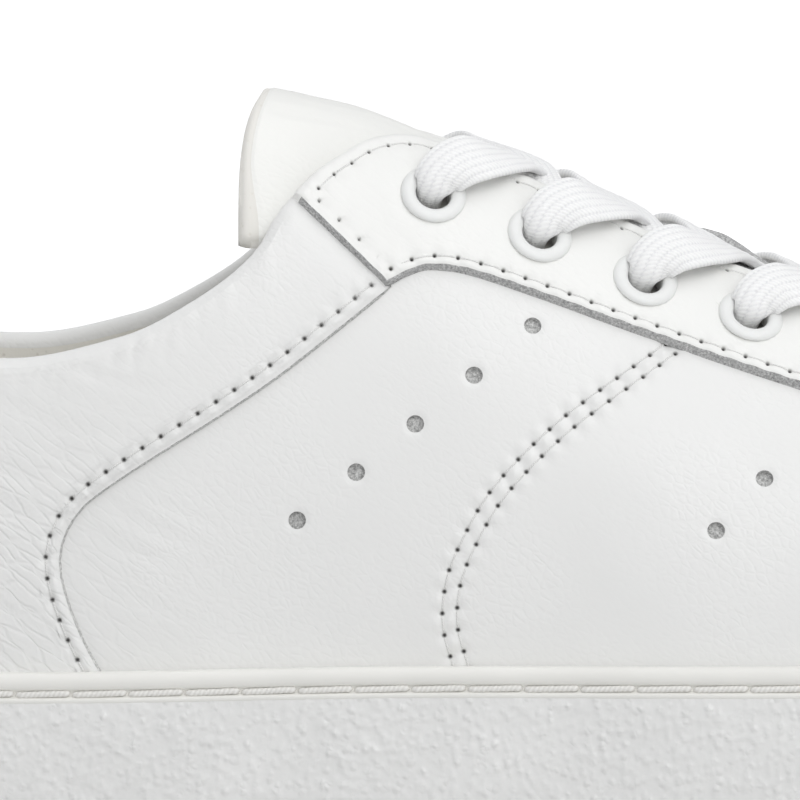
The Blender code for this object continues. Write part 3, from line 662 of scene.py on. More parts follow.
def add_node(material, kind, inputs=None, **settings):
    """Add a node; an input is a value, another node, or one of another node's outputs."""
    node = material.node_tree.nodes.new("ShaderNode" + kind)
    for name, value in settings.items():
        setattr(node, name, value)
    for name, value in (inputs or {}).items():
        if isinstance(value, (bpy.types.Node, bpy.types.NodeSocket)):
            material.node_tree.links.new(first_output(value), node.inputs[name])
        else:
            node.inputs[name].default_value = value
    return node


def new_finish(name, **sockets):
    """A principled material with its plain sockets set."""
    material = bpy.data.materials.new(name)
    material.use_nodes = True
    shader = material.node_tree.nodes["Principled BSDF"]
    for socket, value in sockets.items():
        shader.inputs[socket.replace("_", " ")].default_value = value
    return material, shader


def link_to(material, shader, **sources):
    for socket, source in sources.items():
        material.node_tree.links.new(first_output(source),
                                     shader.inputs[socket.replace("_", " ")])


def per_mm(size):
    """Texture scale for a pattern of that many millimetres, in metres of object space."""
    return 1.0 / (size * MM)


# %% [markdown]
# ### Coated full-grain leather
# Cow hide, tanned, sprayed white and pressed smooth. The coat gives a soft broad gloss.
# The grain shows as long cells of about a millimetre, stronger where the hide was loose.
# A net of creases, stretched to one slant, opens where the mesh says that the shoe flexes,
# and the needle holes are painted dark grey as shade in them.

# %% Leather
CELL, LONG_CELL, CREASE_NET, SWELL, HIDE_PATCH = 1.15, 1.5, 1.5, 2.2, 22.0  # sizes in mm
# dark grey painted into the needle holes as shade
NEEDLE_HOLE_SHADE = "#4A4947"


def coated_leather(name, swatch, grain=1.0, rough=0.43):
    """Sprayed white hide: grain and creases in bump, painted shade in marked needle holes."""
    m, shader = new_finish(name, IOR=1.48, Specular_IOR_Level=0.42, Coat_Weight=0.12,
                           Coat_Roughness=0.38, Coat_IOR=1.45)
    place = add_node(m, "TexCoord").outputs["Object"]
    pit = add_node(m, "Attribute", attribute_name="pit").outputs["Fac"]
    worn = add_node(m, "Attribute", attribute_name="worn").outputs["Fac"]
    warp = add_node(m, "TexNoise", {"Vector": place, "Scale": per_mm(3.0), "Detail": 2.0})
    bent = add_node(m, "VectorMath", {
        0: warp.outputs["Color"], 1: (0.0009, 0.0009, 0.0009), 2: place},
        operation="MULTIPLY_ADD")
    lie = add_node(m, "Mapping", {
        "Vector": bent, "Rotation": (0.0, math.radians(42), 0.0),
        "Scale": (LONG_CELL, 1.0, 1.0)}, vector_type="TEXTURE")
    cells = add_node(m, "TexVoronoi", {
        "Vector": lie, "Scale": per_mm(CELL)}, feature="DISTANCE_TO_EDGE")
    net = add_node(m, "MapRange", {
        "Value": cells, "From Min": 0.0, "From Max": 0.24}, interpolation_type="SMOOTHSTEP")
    pores = add_node(m, "TexNoise", {
        "Vector": place, "Scale": per_mm(1.1), "Detail": 3.0, "Roughness": 0.6})
    long_lie = add_node(m, "Mapping", {
        "Vector": bent, "Rotation": (0.0, math.radians(40), 0.0), "Scale": (3.8, 1.1, 1.0)},
        vector_type="TEXTURE")
    lines = add_node(m, "TexNoise", {
        "Vector": long_lie, "Scale": per_mm(SWELL), "Detail": 2.0, "Roughness": 0.5})
    folded = add_node(m, "TexVoronoi", {
        "Vector": long_lie, "Scale": per_mm(CREASE_NET)}, feature="DISTANCE_TO_EDGE")
    creases = add_node(m, "MapRange", {
        "Value": folded, "From Min": 0.0, "From Max": 0.17}, interpolation_type="SMOOTHSTEP")
    swell = add_node(m, "Math", {0: lines, 1: 2.4, 2: creases}, operation="MULTIPLY_ADD")
    patch = add_node(m, "TexNoise", {
        "Vector": place, "Scale": per_mm(HIDE_PATCH), "Detail": 1.0})
    where = add_node(m, "MapRange", {
        "Value": patch, "From Min": 0.40, "From Max": 0.66, "To Min": 0.25, "To Max": 1.0},
        interpolation_type="SMOOTHSTEP")
    flat_net = add_node(m, "Math", {0: net, 1: where}, operation="MULTIPLY")
    fine = add_node(m, "Math", {0: pores, 1: 0.9, 2: flat_net}, operation="MULTIPLY_ADD")
    deep = add_node(m, "Math", {0: swell, 1: worn}, operation="MULTIPLY")
    grain_bump = add_node(m, "Bump", {
        "Strength": 0.6 * grain, "Distance": 0.045 * MM, "Height": fine})
    crease_bump = add_node(m, "Bump", {
        "Strength": 0.6, "Distance": 0.15 * MM, "Height": deep, "Normal": grain_bump})
    # the needle holes are painted darker by the pit mask, as painted shade
    shade = add_node(m, "Mix", {
        "Factor": pit, "A": linear(swatch), "B": linear(NEEDLE_HOLE_SHADE)}, data_type="RGBA")
    cloud = add_node(m, "MapRange", {
        "Value": patch, "From Min": 0.3, "From Max": 0.7, "To Min": 0.98, "To Max": 1.01})
    tone = add_node(m, "HueSaturation", {"Color": shade, "Value": cloud})
    dull = add_node(m, "MapRange", {
        "Value": pores, "From Min": 0.3, "From Max": 0.7, "To Min": rough - 0.05,
        "To Max": rough + 0.08})
    link_to(m, shader, Base_Color=tone, Roughness=dull, Normal=crease_bump)
    return m


white_leather = coated_leather("coated_white_leather", "#EFEFED")
# the facing is the same hide as the upper; its lighter swatch is painted light on its upturned
# face
facing_leather = coated_leather("coated_facing_leather", "#F3F3F0", 0.7, 0.40)
tongue_leather = coated_leather("soft_tongue_leather", "#F6F6F2", 0.8, 0.47)

# %% [markdown]
# ### Cut edge of the hide
# Under the white coat the hide is grey chrome-tanned fibre. A knife leaves it matt and
# loose, so it is drawn as mottled grey with a coarse nap. The real fibres are finer than
# 0.05 mm; they are drawn at 0.35 mm so that they show.

# %% Cut edge
def cut_fibre(name, light, dark):
    m, shader = new_finish(name, IOR=1.5, Specular_IOR_Level=0.15, Roughness=0.92)
    place = add_node(m, "TexCoord").outputs["Object"]
    nap = add_node(m, "TexNoise", {
        "Vector": place, "Scale": per_mm(0.35), "Detail": 4.0, "Roughness": 0.7})
    spread = add_node(m, "MapRange", {"Value": nap, "From Min": 0.32, "From Max": 0.68})
    shade = add_node(m, "Mix", {
        "Factor": spread, "A": linear(dark), "B": linear(light)}, data_type="RGBA")
    rough_nap = add_node(m, "Bump", {"Strength": 0.9, "Distance": 0.16 * MM, "Height": nap})
    link_to(m, shader, Base_Color=shade, Normal=rough_nap)
    return m


cut_edge = cut_fibre("cut_hide_fibre", "#DADAD9", "#848484")
hole_fibre = cut_fibre("punched_hide_fibre", "#F2F2F0", "#8F8F8E")

# %% [markdown]
# ### Lining
# The lining is pigskin, split thin and left warm white. It has small pores about 1.3 mm
# apart and almost no gloss.

# %% Lining
def pigskin(name, swatch):
    m, shader = new_finish(name, IOR=1.47, Specular_IOR_Level=0.25, Roughness=0.72,
                           Sheen_Weight=0.15, Sheen_Roughness=0.5)
    place = add_node(m, "TexCoord").outputs["Object"]
    pores = add_node(m, "TexVoronoi", {
        "Vector": place, "Scale": per_mm(1.3), "Randomness": 0.9})
    dots = add_node(m, "MapRange", {
        "Value": pores, "From Min": 0.05, "From Max": 0.28}, interpolation_type="SMOOTHSTEP")
    nap = add_node(m, "TexNoise", {"Vector": place, "Scale": per_mm(0.6), "Detail": 3.0})
    shade = add_node(m, "Mix", {
        "Factor": dots, "A": linear("#E8E5DD"), "B": linear(swatch)}, data_type="RGBA")
    height = add_node(m, "Math", {0: nap, 1: 0.5, 2: dots}, operation="MULTIPLY_ADD")
    skin = add_node(m, "Bump", {"Strength": 0.5, "Distance": 0.08 * MM, "Height": height})
    link_to(m, shader, Base_Color=shade, Normal=skin)
    return m


lining_skin = pigskin("pigskin_lining", "#F7F5EE")
# the tongue's lining is the same pigskin painted darker, as painted shade on the band at its
# edge
tongue_skin = pigskin("pigskin_tongue_lining", "#EDEBE5")

# %% [markdown]
# ### Moulded rubber
# The cup sole is natural rubber, pressed in a steel mould. The bead round its top was
# polished in the mould and has a soft gloss. The wall below was etched, so it comes out
# with low round blobs and fine pits. Rubber is a little warmer than the leather.

# %% Rubber
def moulded_rubber(name, swatch, rough, pits, domes=0.0):
    """Pressed rubber: fine pits, and where the mould was etched, round blobs in patches."""
    m, shader = new_finish(name, IOR=1.52, Specular_IOR_Level=0.4)
    place = add_node(m, "TexCoord").outputs["Object"]
    grit = add_node(m, "TexNoise", {
        "Vector": place, "Scale": per_mm(0.55), "Detail": 3.0, "Roughness": 0.6})
    cloud = add_node(m, "TexNoise", {"Vector": place, "Scale": per_mm(14.0), "Detail": 2.0})
    tint = add_node(m, "MapRange", {
        "Value": cloud, "From Min": 0.3, "From Max": 0.7, "To Min": 0.97, "To Max": 1.02})
    tone = add_node(m, "HueSaturation", {"Color": linear(swatch), "Value": tint})
    gloss = add_node(m, "MapRange", {
        "Value": grit, "From Min": 0.3, "From Max": 0.7, "To Min": rough - 0.05,
        "To Max": rough + 0.07})
    swell = add_node(m, "TexNoise", {
        "Vector": place, "Scale": per_mm(2.4), "Detail": 2.0, "Roughness": 0.6})
    drops = add_node(m, "TexVoronoi", {
        "Vector": place, "Scale": per_mm(1.45), "Randomness": 1.0})
    dome = add_node(m, "MapRange", {
        "Value": drops, "From Min": 0.55, "From Max": 0.0}, interpolation_type="SMOOTHSTEP")
    here = add_node(m, "MapRange", {
        "Value": swell, "From Min": 0.32, "From Max": 0.56}, interpolation_type="SMOOTHSTEP")
    lumps = add_node(m, "Math", {0: dome, 1: here, 2: swell}, operation="MULTIPLY_ADD")
    raised = add_node(m, "Bump", {"Strength": domes, "Distance": 0.20 * MM, "Height": lumps})
    skin = add_node(m, "Bump", {
        "Strength": pits, "Distance": 0.06 * MM, "Height": grit, "Normal": raised})
    link_to(m, shader, Base_Color=tone, Roughness=gloss, Normal=skin)
    return m


bead_rubber = moulded_rubber("polished_mould_rubber", "#F3F2ED", 0.36, 0.12)
wall_rubber = moulded_rubber("etched_mould_rubber", "#F0F0EE", 0.33, 0.25, 0.8)
tread_rubber = moulded_rubber("pressed_tread_rubber", "#DEDCD4", 0.6, 0.8)

# %% [markdown]
# ### Enamelled brass
# The eyelets are brass, stamped and dipped in white enamel. The enamel flows round the
# rolled rim and sets to a soft gloss, with the faintest orange-peel.

# %% Enamel
def dipped_enamel(name, swatch):
    m, shader = new_finish(name, Base_Color=linear(swatch), IOR=1.52, Coat_Weight=0.25,
                           Coat_Roughness=0.25, Coat_IOR=1.5)
    place = add_node(m, "TexCoord").outputs["Object"]
    peel = add_node(m, "TexNoise", {"Vector": place, "Scale": per_mm(1.2), "Detail": 2.0})
    gloss = add_node(m, "MapRange", {"Value": peel, "To Min": 0.38, "To Max": 0.5})
    skin = add_node(m, "Bump", {"Strength": 0.12, "Distance": 0.05 * MM, "Height": peel})
    link_to(m, shader, Roughness=gloss, Normal=skin)
    return m


enamel = dipped_enamel("dipped_white_enamel", "#EBECEA")

# %% [markdown]
# ### Woven cotton lace and bonded thread
# A flat lace is woven in cords that lie side by side, and the filling yarns cross each
# cord at a slant. The mesh has the cords; the slanted yarns, 0.66 mm apart, are bump laid
# out by two lengths stored on the lace: across it and along it. Thread is bonded
# polyester, so it is the same white but smoother.

# %% Lace and thread
CORDS, LACE_WIDTH, LACE_THICK, YARN = 7, 8.3, 1.25, 0.66


def woven_cotton(name, swatch, shadow):
    m, shader = new_finish(name, IOR=1.5, Specular_IOR_Level=0.2, Roughness=0.82,
                           Sheen_Weight=0.35, Sheen_Roughness=0.45)
    lay = add_node(m, "Attribute", attribute_name="lay")
    parts = add_node(m, "SeparateXYZ", {0: lay.outputs["Vector"]})
    across, along = parts.outputs["X"], parts.outputs["Y"]
    cord = add_node(m, "Math", {0: across, 1: LACE_WIDTH / CORDS / 2}, operation="PINGPONG")
    groove = add_node(m, "MapRange", {
        "Value": cord, "From Min": 0.0, "From Max": 0.34}, interpolation_type="SMOOTHSTEP")
    in_cord = add_node(m, "Math", {0: across, 1: LACE_WIDTH / CORDS}, operation="MODULO")
    slant = add_node(m, "Math", {0: in_cord, 1: 0.75, 2: along}, operation="MULTIPLY_ADD")
    yarn = add_node(m, "Math", {0: slant, 1: 2 * math.pi / YARN}, operation="MULTIPLY")
    wave = add_node(m, "Math", {0: yarn}, operation="SINE")
    place = add_node(m, "TexCoord").outputs["Object"]
    fuzz = add_node(m, "TexNoise", {"Vector": place, "Scale": per_mm(0.3), "Detail": 3.0})
    soft = add_node(m, "Math", {0: wave, 1: 0.34, 2: fuzz}, operation="MULTIPLY_ADD")
    height = add_node(m, "Math", {0: groove, 1: 0.5, 2: soft}, operation="MULTIPLY_ADD")
    weave = add_node(m, "Bump", {"Strength": 0.8, "Distance": 0.08 * MM, "Height": height})
    low = add_node(m, "MapRange", {"Value": height, "From Min": 0.1, "From Max": 1.0})
    shade = add_node(m, "Mix", {
        "Factor": low, "A": linear(shadow), "B": linear(swatch)}, data_type="RGBA")
    link_to(m, shader, Base_Color=shade, Normal=weave)
    return m


def twisted_thread(name, swatch, shadow, ply):
    """Two plies twisted together: dark slanted lines a ply apart."""
    m, shader = new_finish(name, IOR=1.5, Specular_IOR_Level=0.35, Roughness=0.5)
    lay = add_node(m, "Attribute", attribute_name="lay")
    parts = add_node(m, "SeparateXYZ", {0: lay.outputs["Vector"]})
    turned = add_node(m, "Math", {
        0: parts.outputs["Y"], 1: ply / math.pi, 2: parts.outputs["X"]},
        operation="MULTIPLY_ADD")
    phase = add_node(m, "Math", {0: turned, 1: 2 * math.pi / ply}, operation="MULTIPLY")
    twist = add_node(m, "Math", {0: phase}, operation="SINE")
    light = add_node(m, "MapRange", {"Value": twist, "From Min": -1.0, "From Max": 1.0})
    shade = add_node(m, "Mix", {
        "Factor": light, "A": linear(shadow), "B": linear(swatch)}, data_type="RGBA")
    ridge_bump = add_node(m, "Bump", {
        "Strength": 0.5, "Distance": 0.05 * MM, "Height": twist})
    link_to(m, shader, Base_Color=shade, Normal=ridge_bump)
    return m


cotton = woven_cotton("woven_white_cotton", "#FBFBFA", "#EBEBEC")
thread = twisted_thread("bonded_white_thread", "#F0F0EE", "#E2E2DF", 0.4)
sole_thread = twisted_thread("waxed_sole_thread", "#F6F5F1", "#E8E6E1", 0.7)

# %% [markdown]
# ### Insole cloth
# The insole is covered with brushed textile glued to foam. The weave is about 0.5 mm; it
# is drawn at 1.1 mm, twice as coarse, so that it shows.

# %% Insole cloth
WAVE_UNIT = 0.314  # a wave texture of scale 1 repeats every pi / 10 units


def brushed_textile(name, swatch, shadow):
    m, shader = new_finish(name, IOR=1.5, Specular_IOR_Level=0.1, Roughness=0.95,
                           Sheen_Weight=0.4, Sheen_Roughness=0.6)
    place = add_node(m, "TexCoord").outputs["Object"]
    waves = []
    for way in ("X", "Y"):
        wave = add_node(m, "TexWave", {
            "Vector": place, "Scale": WAVE_UNIT * per_mm(1.1), "Distortion": 1.2,
            "Detail Scale": 2.0}, bands_direction=way)
        waves.append(wave.outputs["Fac"])
    cloth = add_node(m, "Math", {0: waves[0], 1: waves[1]}, operation="MULTIPLY")
    shade = add_node(m, "Mix", {
        "Factor": cloth, "A": linear(shadow), "B": linear(swatch)}, data_type="RGBA")
    nap = add_node(m, "Bump", {"Strength": 0.7, "Distance": 0.15 * MM, "Height": cloth})
    link_to(m, shader, Base_Color=shade, Normal=nap)
    return m


insole_cloth = brushed_textile("brushed_insole_textile", "#DCD8CE", "#B5B0A4")
print("finishes made:", len(bpy.data.materials))

# %% [markdown]
# ## The cup sole
# The sole is one pressed piece: a tread, a wall with an etched texture, a groove for the
# stitches and a smooth bead over it. It could be one mesh, but the wall wants far finer
# faces than the rest, so it is made in three parts that meet at hidden lines: bead with
# groove, etched wall, and tread. The wall leans as the upper above it leans.

# %% Outlines of the sole
FOREPART, FRONT_ROUNDS = 230.0, 8
HEEL_SHARE, MIDDLE_SHARE = 0.23, 0.5  # of an outline's points
SIDE_POINTS = 300  # points of half an outline where the wall is smooth


def ring(rise, side, out, count=SIDE_POINTS):
    """Half outline of the last, heel to toe, at a height over the floor, moved outward."""
    def closed(station):
        share = 1 - (rise / tall(station)) ** side_power(station)
        return float(np.maximum(share, 0.0))
    back = HEEL_BACK + HEEL_ROUND * (1 - closed(HEEL_BACK) ** (1 / HEEL_POWER))
    front = TOE_FRONT
    for _ in range(FRONT_ROUNDS):
        front = TOE_FRONT - TOE_ROUND * (1 - closed(front) ** (1 / TOE_POWER))
    heel, middle = int(count * HEEL_SHARE), int(count * MIDDLE_SHARE)
    counts = heel, middle, count - heel - middle - 1
    stations = heel_to_toe(back, FOREPART, front, counts)
    points = on_last(stations, side, rise)
    points[[0, -1], 1] = centre_line(points[[0, -1], 0])
    away = last_slope(points)
    away[:, 2] = 0.0
    away[0], away[-1] = (-1, 0, 0), (1, 0, 0)
    return points + unit(away) * out


RIB_LEVEL = float(rib(150.0))  # the wall leans as the last does under this height


def wall_line(share, drop, out, count=SIDE_POINTS):
    """Closed outline on the sole's wall: share goes from ground to rib, then down by drop."""
    rise = max(0.0, share * RIB_LEVEL - drop - FLOOR)
    near, far = (ring(rise, side, out, count) for side in SIDES)
    line = np.concatenate([near, far[-2:0:-1]])
    low = bottom(line[:, 0])
    line[:, 2] = low + share * (rib(line[:, 0]) - low) - drop
    return line


# %% Bead, groove and lip
# drop below the rib, and inset from the wall's face
UNDER_UPPER = ((3.2, 4.5), (0.9, 4.5), (0.25, 3.9), (0.0, 3.1))
GROOVE_AND_LIP = ((2.55, 0.75), (2.7, 0.86), (3.05, 0.92), (3.4, 0.86), (3.52, 0.5),
                  (3.62, 0.24), (3.78, 0.08), (4.0, 0.06), (4.3, 0.14), (4.6, 0.5))
BEAD_HIGH, BEAD_OUT = 1.28, 0.95  # half height and reach of the bead's round


def make_bead():
    """Smooth bead, stitch groove and thin lip, swept round the sole."""
    profile = list(UNDER_UPPER)
    for angle in np.radians(np.linspace(78, -74, 12)):
        profile.append((BEAD_HIGH - BEAD_HIGH * math.sin(angle),
                        BEAD_OUT * (1 - math.cos(angle))))
    profile += GROOVE_AND_LIP
    rows = [wall_line(1.0, drop, SOLE_WALL - inset) for drop, inset in profile]
    faces = grid_faces(len(rows), len(rows[0]), closed=True)
    return mesh_from("sole_bead", np.concatenate(rows), faces, [bead_rubber],
                     ["cup_sole"])


make_bead()


# %% Etched wall
WALL_COLUMNS, WALL_ROWS = 1100, 44
WALL_FOOT = 0.03  # the share of the wall's height where the tread takes over
LIP_DROP, WALL_INSET, FOOT_BEVEL = 4.15, 0.18, 0.9
BLOB_HIGH, DRIFT_HIGH = 0.18, 0.04


def make_wall():
    """The wall's blobs are raised by up to about 0.2 mm; they fade out at both edges."""
    rows = []
    for share in np.linspace(WALL_FOOT, 1.0, WALL_ROWS):
        inset = WALL_INSET + FOOT_BEVEL * (1 - smoothstep(0.0, 0.09, share)) ** 2
        rows.append(wall_line(share, LIP_DROP * smoothstep(0.1, 1.0, share),
                              SOLE_WALL - inset, WALL_COLUMNS))
    points = np.concatenate(rows)
    blobs = 0.8 * rumple(points, 1.3, 5.0) + 0.7 * rumple(points, 0.8, 9.0)
    drift = rumple(points, 4.0, 2.0)
    height = BLOB_HIGH * smoothstep(-0.05, 0.5, blobs + 0.25 * drift) + DRIFT_HIGH * drift
    row = np.repeat(np.arange(WALL_ROWS), len(rows[0]))
    fade = smoothstep(0, 2, row) * smoothstep(0, 1.5, WALL_ROWS - 1.0 - row)
    out = outward(points) * (1, 1, 0)
    points = points + unit(out) * (height * fade)[:, None]
    faces = grid_faces(WALL_ROWS, len(rows[0]), closed=True)
    return mesh_from("sole_wall", points, faces, [wall_rubber], ["cup_sole"])


make_wall()

# %% [markdown]
# The tread is flat with a bevel to the wall. Seven bent grooves let the sole roll, and
# fine bars between them grip. It is a grid across the outline; heights are cut into it.

# %% Tread
GROOVES = ((26, 20, 5), (44, 24, 5), (62, 24, 5), (174, 36, -6), (190, 38, -6),
           (206, 40, -6), (222, 40, -6))  # station, half length, bend
TREAD_ROWS, TREAD_INSET = 90, 0.6
TREAD_BEVEL, GROOVE_DEEP, BAR_DEEP, BAR_PITCH, BAR_BEND = 0.68, 1.3, 0.35, 4.2, 0.004


def make_tread():
    outline = wall_line(WALL_FOOT, 0.0, SOLE_WALL - TREAD_INSET)
    half = len(outline) // 2
    near, far = outline[:half + 1], np.concatenate([outline[:1], outline[:half - 1:-1]])
    share = np.linspace(0, 1, TREAD_ROWS)[:, None, None]
    points = (near[None] * (1 - share) + far[None] * share).reshape(-1, 3)
    row = np.arange(TREAD_ROWS)
    edge = np.repeat(np.minimum(row, row[::-1]), half + 1)
    x, y = points[:, 0], points[:, 1]
    down = bottom(x) + TREAD_BEVEL * (1 - smoothstep(0, 4, edge))
    turn = 2 * math.pi * (x + BAR_BEND * y * y) / BAR_PITCH
    bars = BAR_DEEP * smoothstep(-0.2, 0.4, np.sin(turn))
    bars *= smoothstep(6, 8, edge) * smoothstep(10, 14, x) * (1 - smoothstep(262, 270, x))
    cut = np.zeros(len(x))
    for station, length, bend in GROOVES:
        curve_x = station + bend * (y / length) ** 2
        cut = np.maximum(cut, smoothstep(1.5, 0.9, np.abs(x - curve_x))
                         * smoothstep(length + 1, length - 1, np.abs(y)))
    points[:, 2] = down + bars * (1 - cut) + GROOVE_DEEP * cut
    faces = [face[::-1] for face in grid_faces(TREAD_ROWS, half + 1)]
    return mesh_from("sole_tread", points, faces, [tread_rubber], ["cup_sole"])


make_tread()


# %% Thread in the sole's groove
def tube(line, normals, radius, turns):
    """Points and faces of a round thread along a line, closed at both ends."""
    along = unit(np.gradient(line, axis=0))
    across = unit(np.cross(normals, along))
    up = np.cross(along, across)
    angles = np.linspace(0, 2 * math.pi, turns, endpoint=False)
    radius = np.broadcast_to(radius, len(line))
    rings = [line + radius[:, None] * (math.cos(a) * across + math.sin(a) * up)
             for a in angles]
    points = np.stack(rings, axis=1).reshape(-1, 3)
    faces = grid_faces(len(line), turns, closed=True)
    faces.append(tuple(range(turns))[::-1])
    faces.append(tuple(range(len(points) - turns, len(points))))
    lay = np.stack([np.repeat(length_along(line), turns), np.tile(angles, len(line))], -1)
    return points, faces, lay


def joined(name, tubes, material):
    """Many tubes as one mesh, with their lay stored for the finish."""
    points, faces, lays, start = [], [], [], 0
    for spots, quads, lay in tubes:
        points.append(spots)
        lays.append(lay)
        faces += [tuple(start + k for k in quad) for quad in quads]
        start += len(spots)
    piece = mesh_from(name, np.concatenate(points), faces, [material], ())
    lay = np.concatenate(lays)
    lay = np.concatenate([lay, np.zeros((len(lay), 1))], axis=1)
    stored = piece.data.attributes.new("lay", "FLOAT_VECTOR", "POINT")
    stored.data.foreach_set("vector", lay.astype(np.float32).ravel())
    return piece


SOLE_STITCH, SOLE_THREAD = 8.2, 0.48  # length of a stitch, and the thread's radius
GROOVE_DROP, THREAD_INSET = 3.03, 0.60
STITCH_DIVE, STITCH_LEAN = 0.6, 0.22


def sole_stitches():
    """Long stitches lie in the groove; each dives at its ends and leans up to the toe."""
    groove = wall_line(1.0, GROOVE_DROP, SOLE_WALL - THREAD_INSET)
    groove = np.concatenate([groove, groove[:1]])
    count = int(round(length_along(groove)[-1] / SOLE_STITCH))
    t = np.concatenate([[0.03, 0.045, 0.065, 0.09], np.linspace(0.13, 0.87, 9),
                        [0.91, 0.935, 0.955, 0.97]])
    dive = np.maximum(0, np.abs(2 * t - 1) - 0.80) / 0.14
    radius = SOLE_THREAD * (1 - 0.55 * dive ** 2) * (1 + 0.06 * np.sin(9 * math.pi * t))
    pieces = []
    for k in range(count):
        line = resample(groove, (k + t) / count)
        normal = unit(outward(line) * (1, 1, 0))
        forward = 1.0 if line[-1, 0] > line[0, 0] else -1.0
        line = line - normal * (STITCH_DIVE * dive ** 2)[:, None]
        line[:, 2] += forward * (t - 0.5) * STITCH_LEAN
        pieces.append(tube(line, normal, radius, 8))
    return joined("sole_thread", pieces, sole_thread)


sole_stitches()

# %% [markdown]
# ## The upper's leather
# The upper is one skin over the last from the bead to the throat. Two stitch rows curve
# down each side where the vamp is sewn to the quarter, and small vent holes are punched
# in slanting rows. Long soft folds are placed where a foot would bend the shoe;
# finer wrinkles are left to the finish.

# %% Lines that the upper's details follow
VAMP_SEAM = ((174.5, 67.5), (162, 59), (156.8, 54.9), (152, 50.3), (148, 45.6), (144.9, 40.2),
             (142.5, 34.6), (141.7, 29), (142, 26.3), (143.2, 22.1), (144, 19.8))
# first hole's station and height, step in each, number of holes
VENTS = ((119.7, 42.6, 8.55, 6.97, 5), (180.2, 41.5, 7.1, 7.35, 3))
QUARTER_EDGE = ((133.4, 76.2), (127.1, 71.2), (116.9, 63.3), (108.7, 57.8), (98.4, 51.4),
                (92.6, 47.6), (88.6, 44.5), (86.1, 40.7), (85.2, 36.6), (86.1, 31.6),
                (88.4, 25.6), (90.6, 21.4), (91.8, 19.4), (92.9, 17.85))
# start station and height, end station and height, depth, width
VAMP_FOLDS = (
    (196, 50, 206, 38, 0.22, 1.6), (203, 53, 214, 40, 0.25, 1.8), (212, 52, 221, 41, 0.2, 1.5),
    (232, 50, 240, 40, 0.16, 1.6), (226, 57, 236, 49, 0.2, 1.8),
    (88, 42, 103, 36, 0.10, 0.9), (90, 46.5, 108, 38.5, 0.12, 1.0),
    (96, 47, 112, 41, 0.08, 0.9), (94, 33, 106, 28, 0.07, 0.9),
)
ROW_GAP = 1.05  # from the middle of the pair to each row
vamp_seams, vents = {}, {}
for side in SIDES:
    middle = side_line(VAMP_SEAM, side)
    vamp_seams[side] = [Seam(beside(middle, gap), 0.2, 0.62, 0.32, pitch=SHORT_PITCH)
                        for gap in (-ROW_GAP, ROW_GAP)]
    vents[side] = []
    for x, z, step_x, step_z, count in VENTS:
        for k in range(count):
            station, height = x + step_x * k, z + step_z * k
            vents[side].append(on_last(station, side, height - floor_height(station)))
print("vent holes a side:", len(vents[LATERAL]))

FIRST_EYELET, EYELET_PITCH, EYELETS, EYELET_INSET = 139.2, 15.45, 6, 10.3


def eyelet_centre(number, side):
    """A set distance down the leather from the throat's edge."""
    station = FIRST_EYELET + EYELET_PITCH * number
    top = top_rise(station, side)
    line = columns([station], side, 0.5 * top, top, COLUMN_POINTS - 1)[0][::-1]
    return snap(resample(line, [EYELET_INSET / length_along(line)[-1]]))[0]


eyelets = {side: [eyelet_centre(k, side) for k in range(EYELETS)] for side in SIDES}


# %% Upper
VENT_RADIUS, VENT_DEPTH = 1.28, 0.95
VENT_DENT = (-0.16, 1.3, 0.4)  # height, distance and width of the dent round a vent
BARREL_HOLE, HOLE_TURNS = 2.9, 28
TOE_START, TOE_TIP = 236.0, TOE_FRONT - 0.05
UPPER_COLUMNS, UPPER_ROWS = (24, 170, 60), 68  # columns at heel, middle and toe
EDGE_HIDDEN, SOLE_HIDDEN = 1.2, 3.0  # how far the upper stops short, and enters the sole


def make_upper():
    stations = heel_to_toe(HEEL_BACK, TOE_START, TOE_TIP, UPPER_COLUMNS)
    bm = new_panel()
    for side in SIDES:
        top = top_rise(stations, side)
        top = np.where(stations < THROAT_END, top - EDGE_HIDDEN, top)
        low = np.minimum(rib(stations) - SOLE_HIDDEN - floor_height(stations), 0.5 * top)
        grid(bm, columns(stations, side, low, top, UPPER_ROWS), flip=side > 0)
    bmesh.ops.remove_doubles(bm, verts=bm.verts, dist=0.02)
    for side in SIDES:
        split_for_seams(bm, vamp_seams[side], 1.6)
        vent_points = np.array(vents[side])
        split_near(bm, vent_points, 3.0)
        split_near(bm, vent_points, 2.2)
    settle(bm)
    for side in SIDES:
        for vent in vents[side]:
            punch(bm, vent, VENT_RADIUS, VENT_DEPTH, HOLE_TURNS)
        for spot in eyelets[side]:
            punch(bm, spot, BARREL_HOLE, 1.0, HOLE_TURNS, closed=False)
    bmesh.ops.recalc_face_normals(bm, faces=bm.faces)

    def heights(points):
        total, dark = sewn(points, [seam for side in SIDES for seam in vamp_seams[side]])
        for side in SIDES:
            mine = (points[:, 1] > 0) == (side > 0)
            total += np.where(mine, folds(points, VAMP_FOLDS, side), 0.0)
            for vent in vents[side]:
                total += round_mark(points, vent, VENT_DENT)
        low = smoothstep(60, 48, points[:, 2])
        use = 0.06 + 0.3 * smoothstep(116, 88, points[:, 0]) * low
        return total, dark, use, 0.0

    return finish_panel("upper_leather", bm, 0.0, heights, [white_leather, hole_fibre],
                        ["upper"])


make_upper()

# %% [markdown]
# ## Eyestay
# The facing that carries the eyelets is a second layer, cut from the same hide and left
# with a raw edge, so a grey band of fibre shows along its outer edge. It goes down both
# sides of the throat and joins in front. A stitch row runs a little inside every edge.

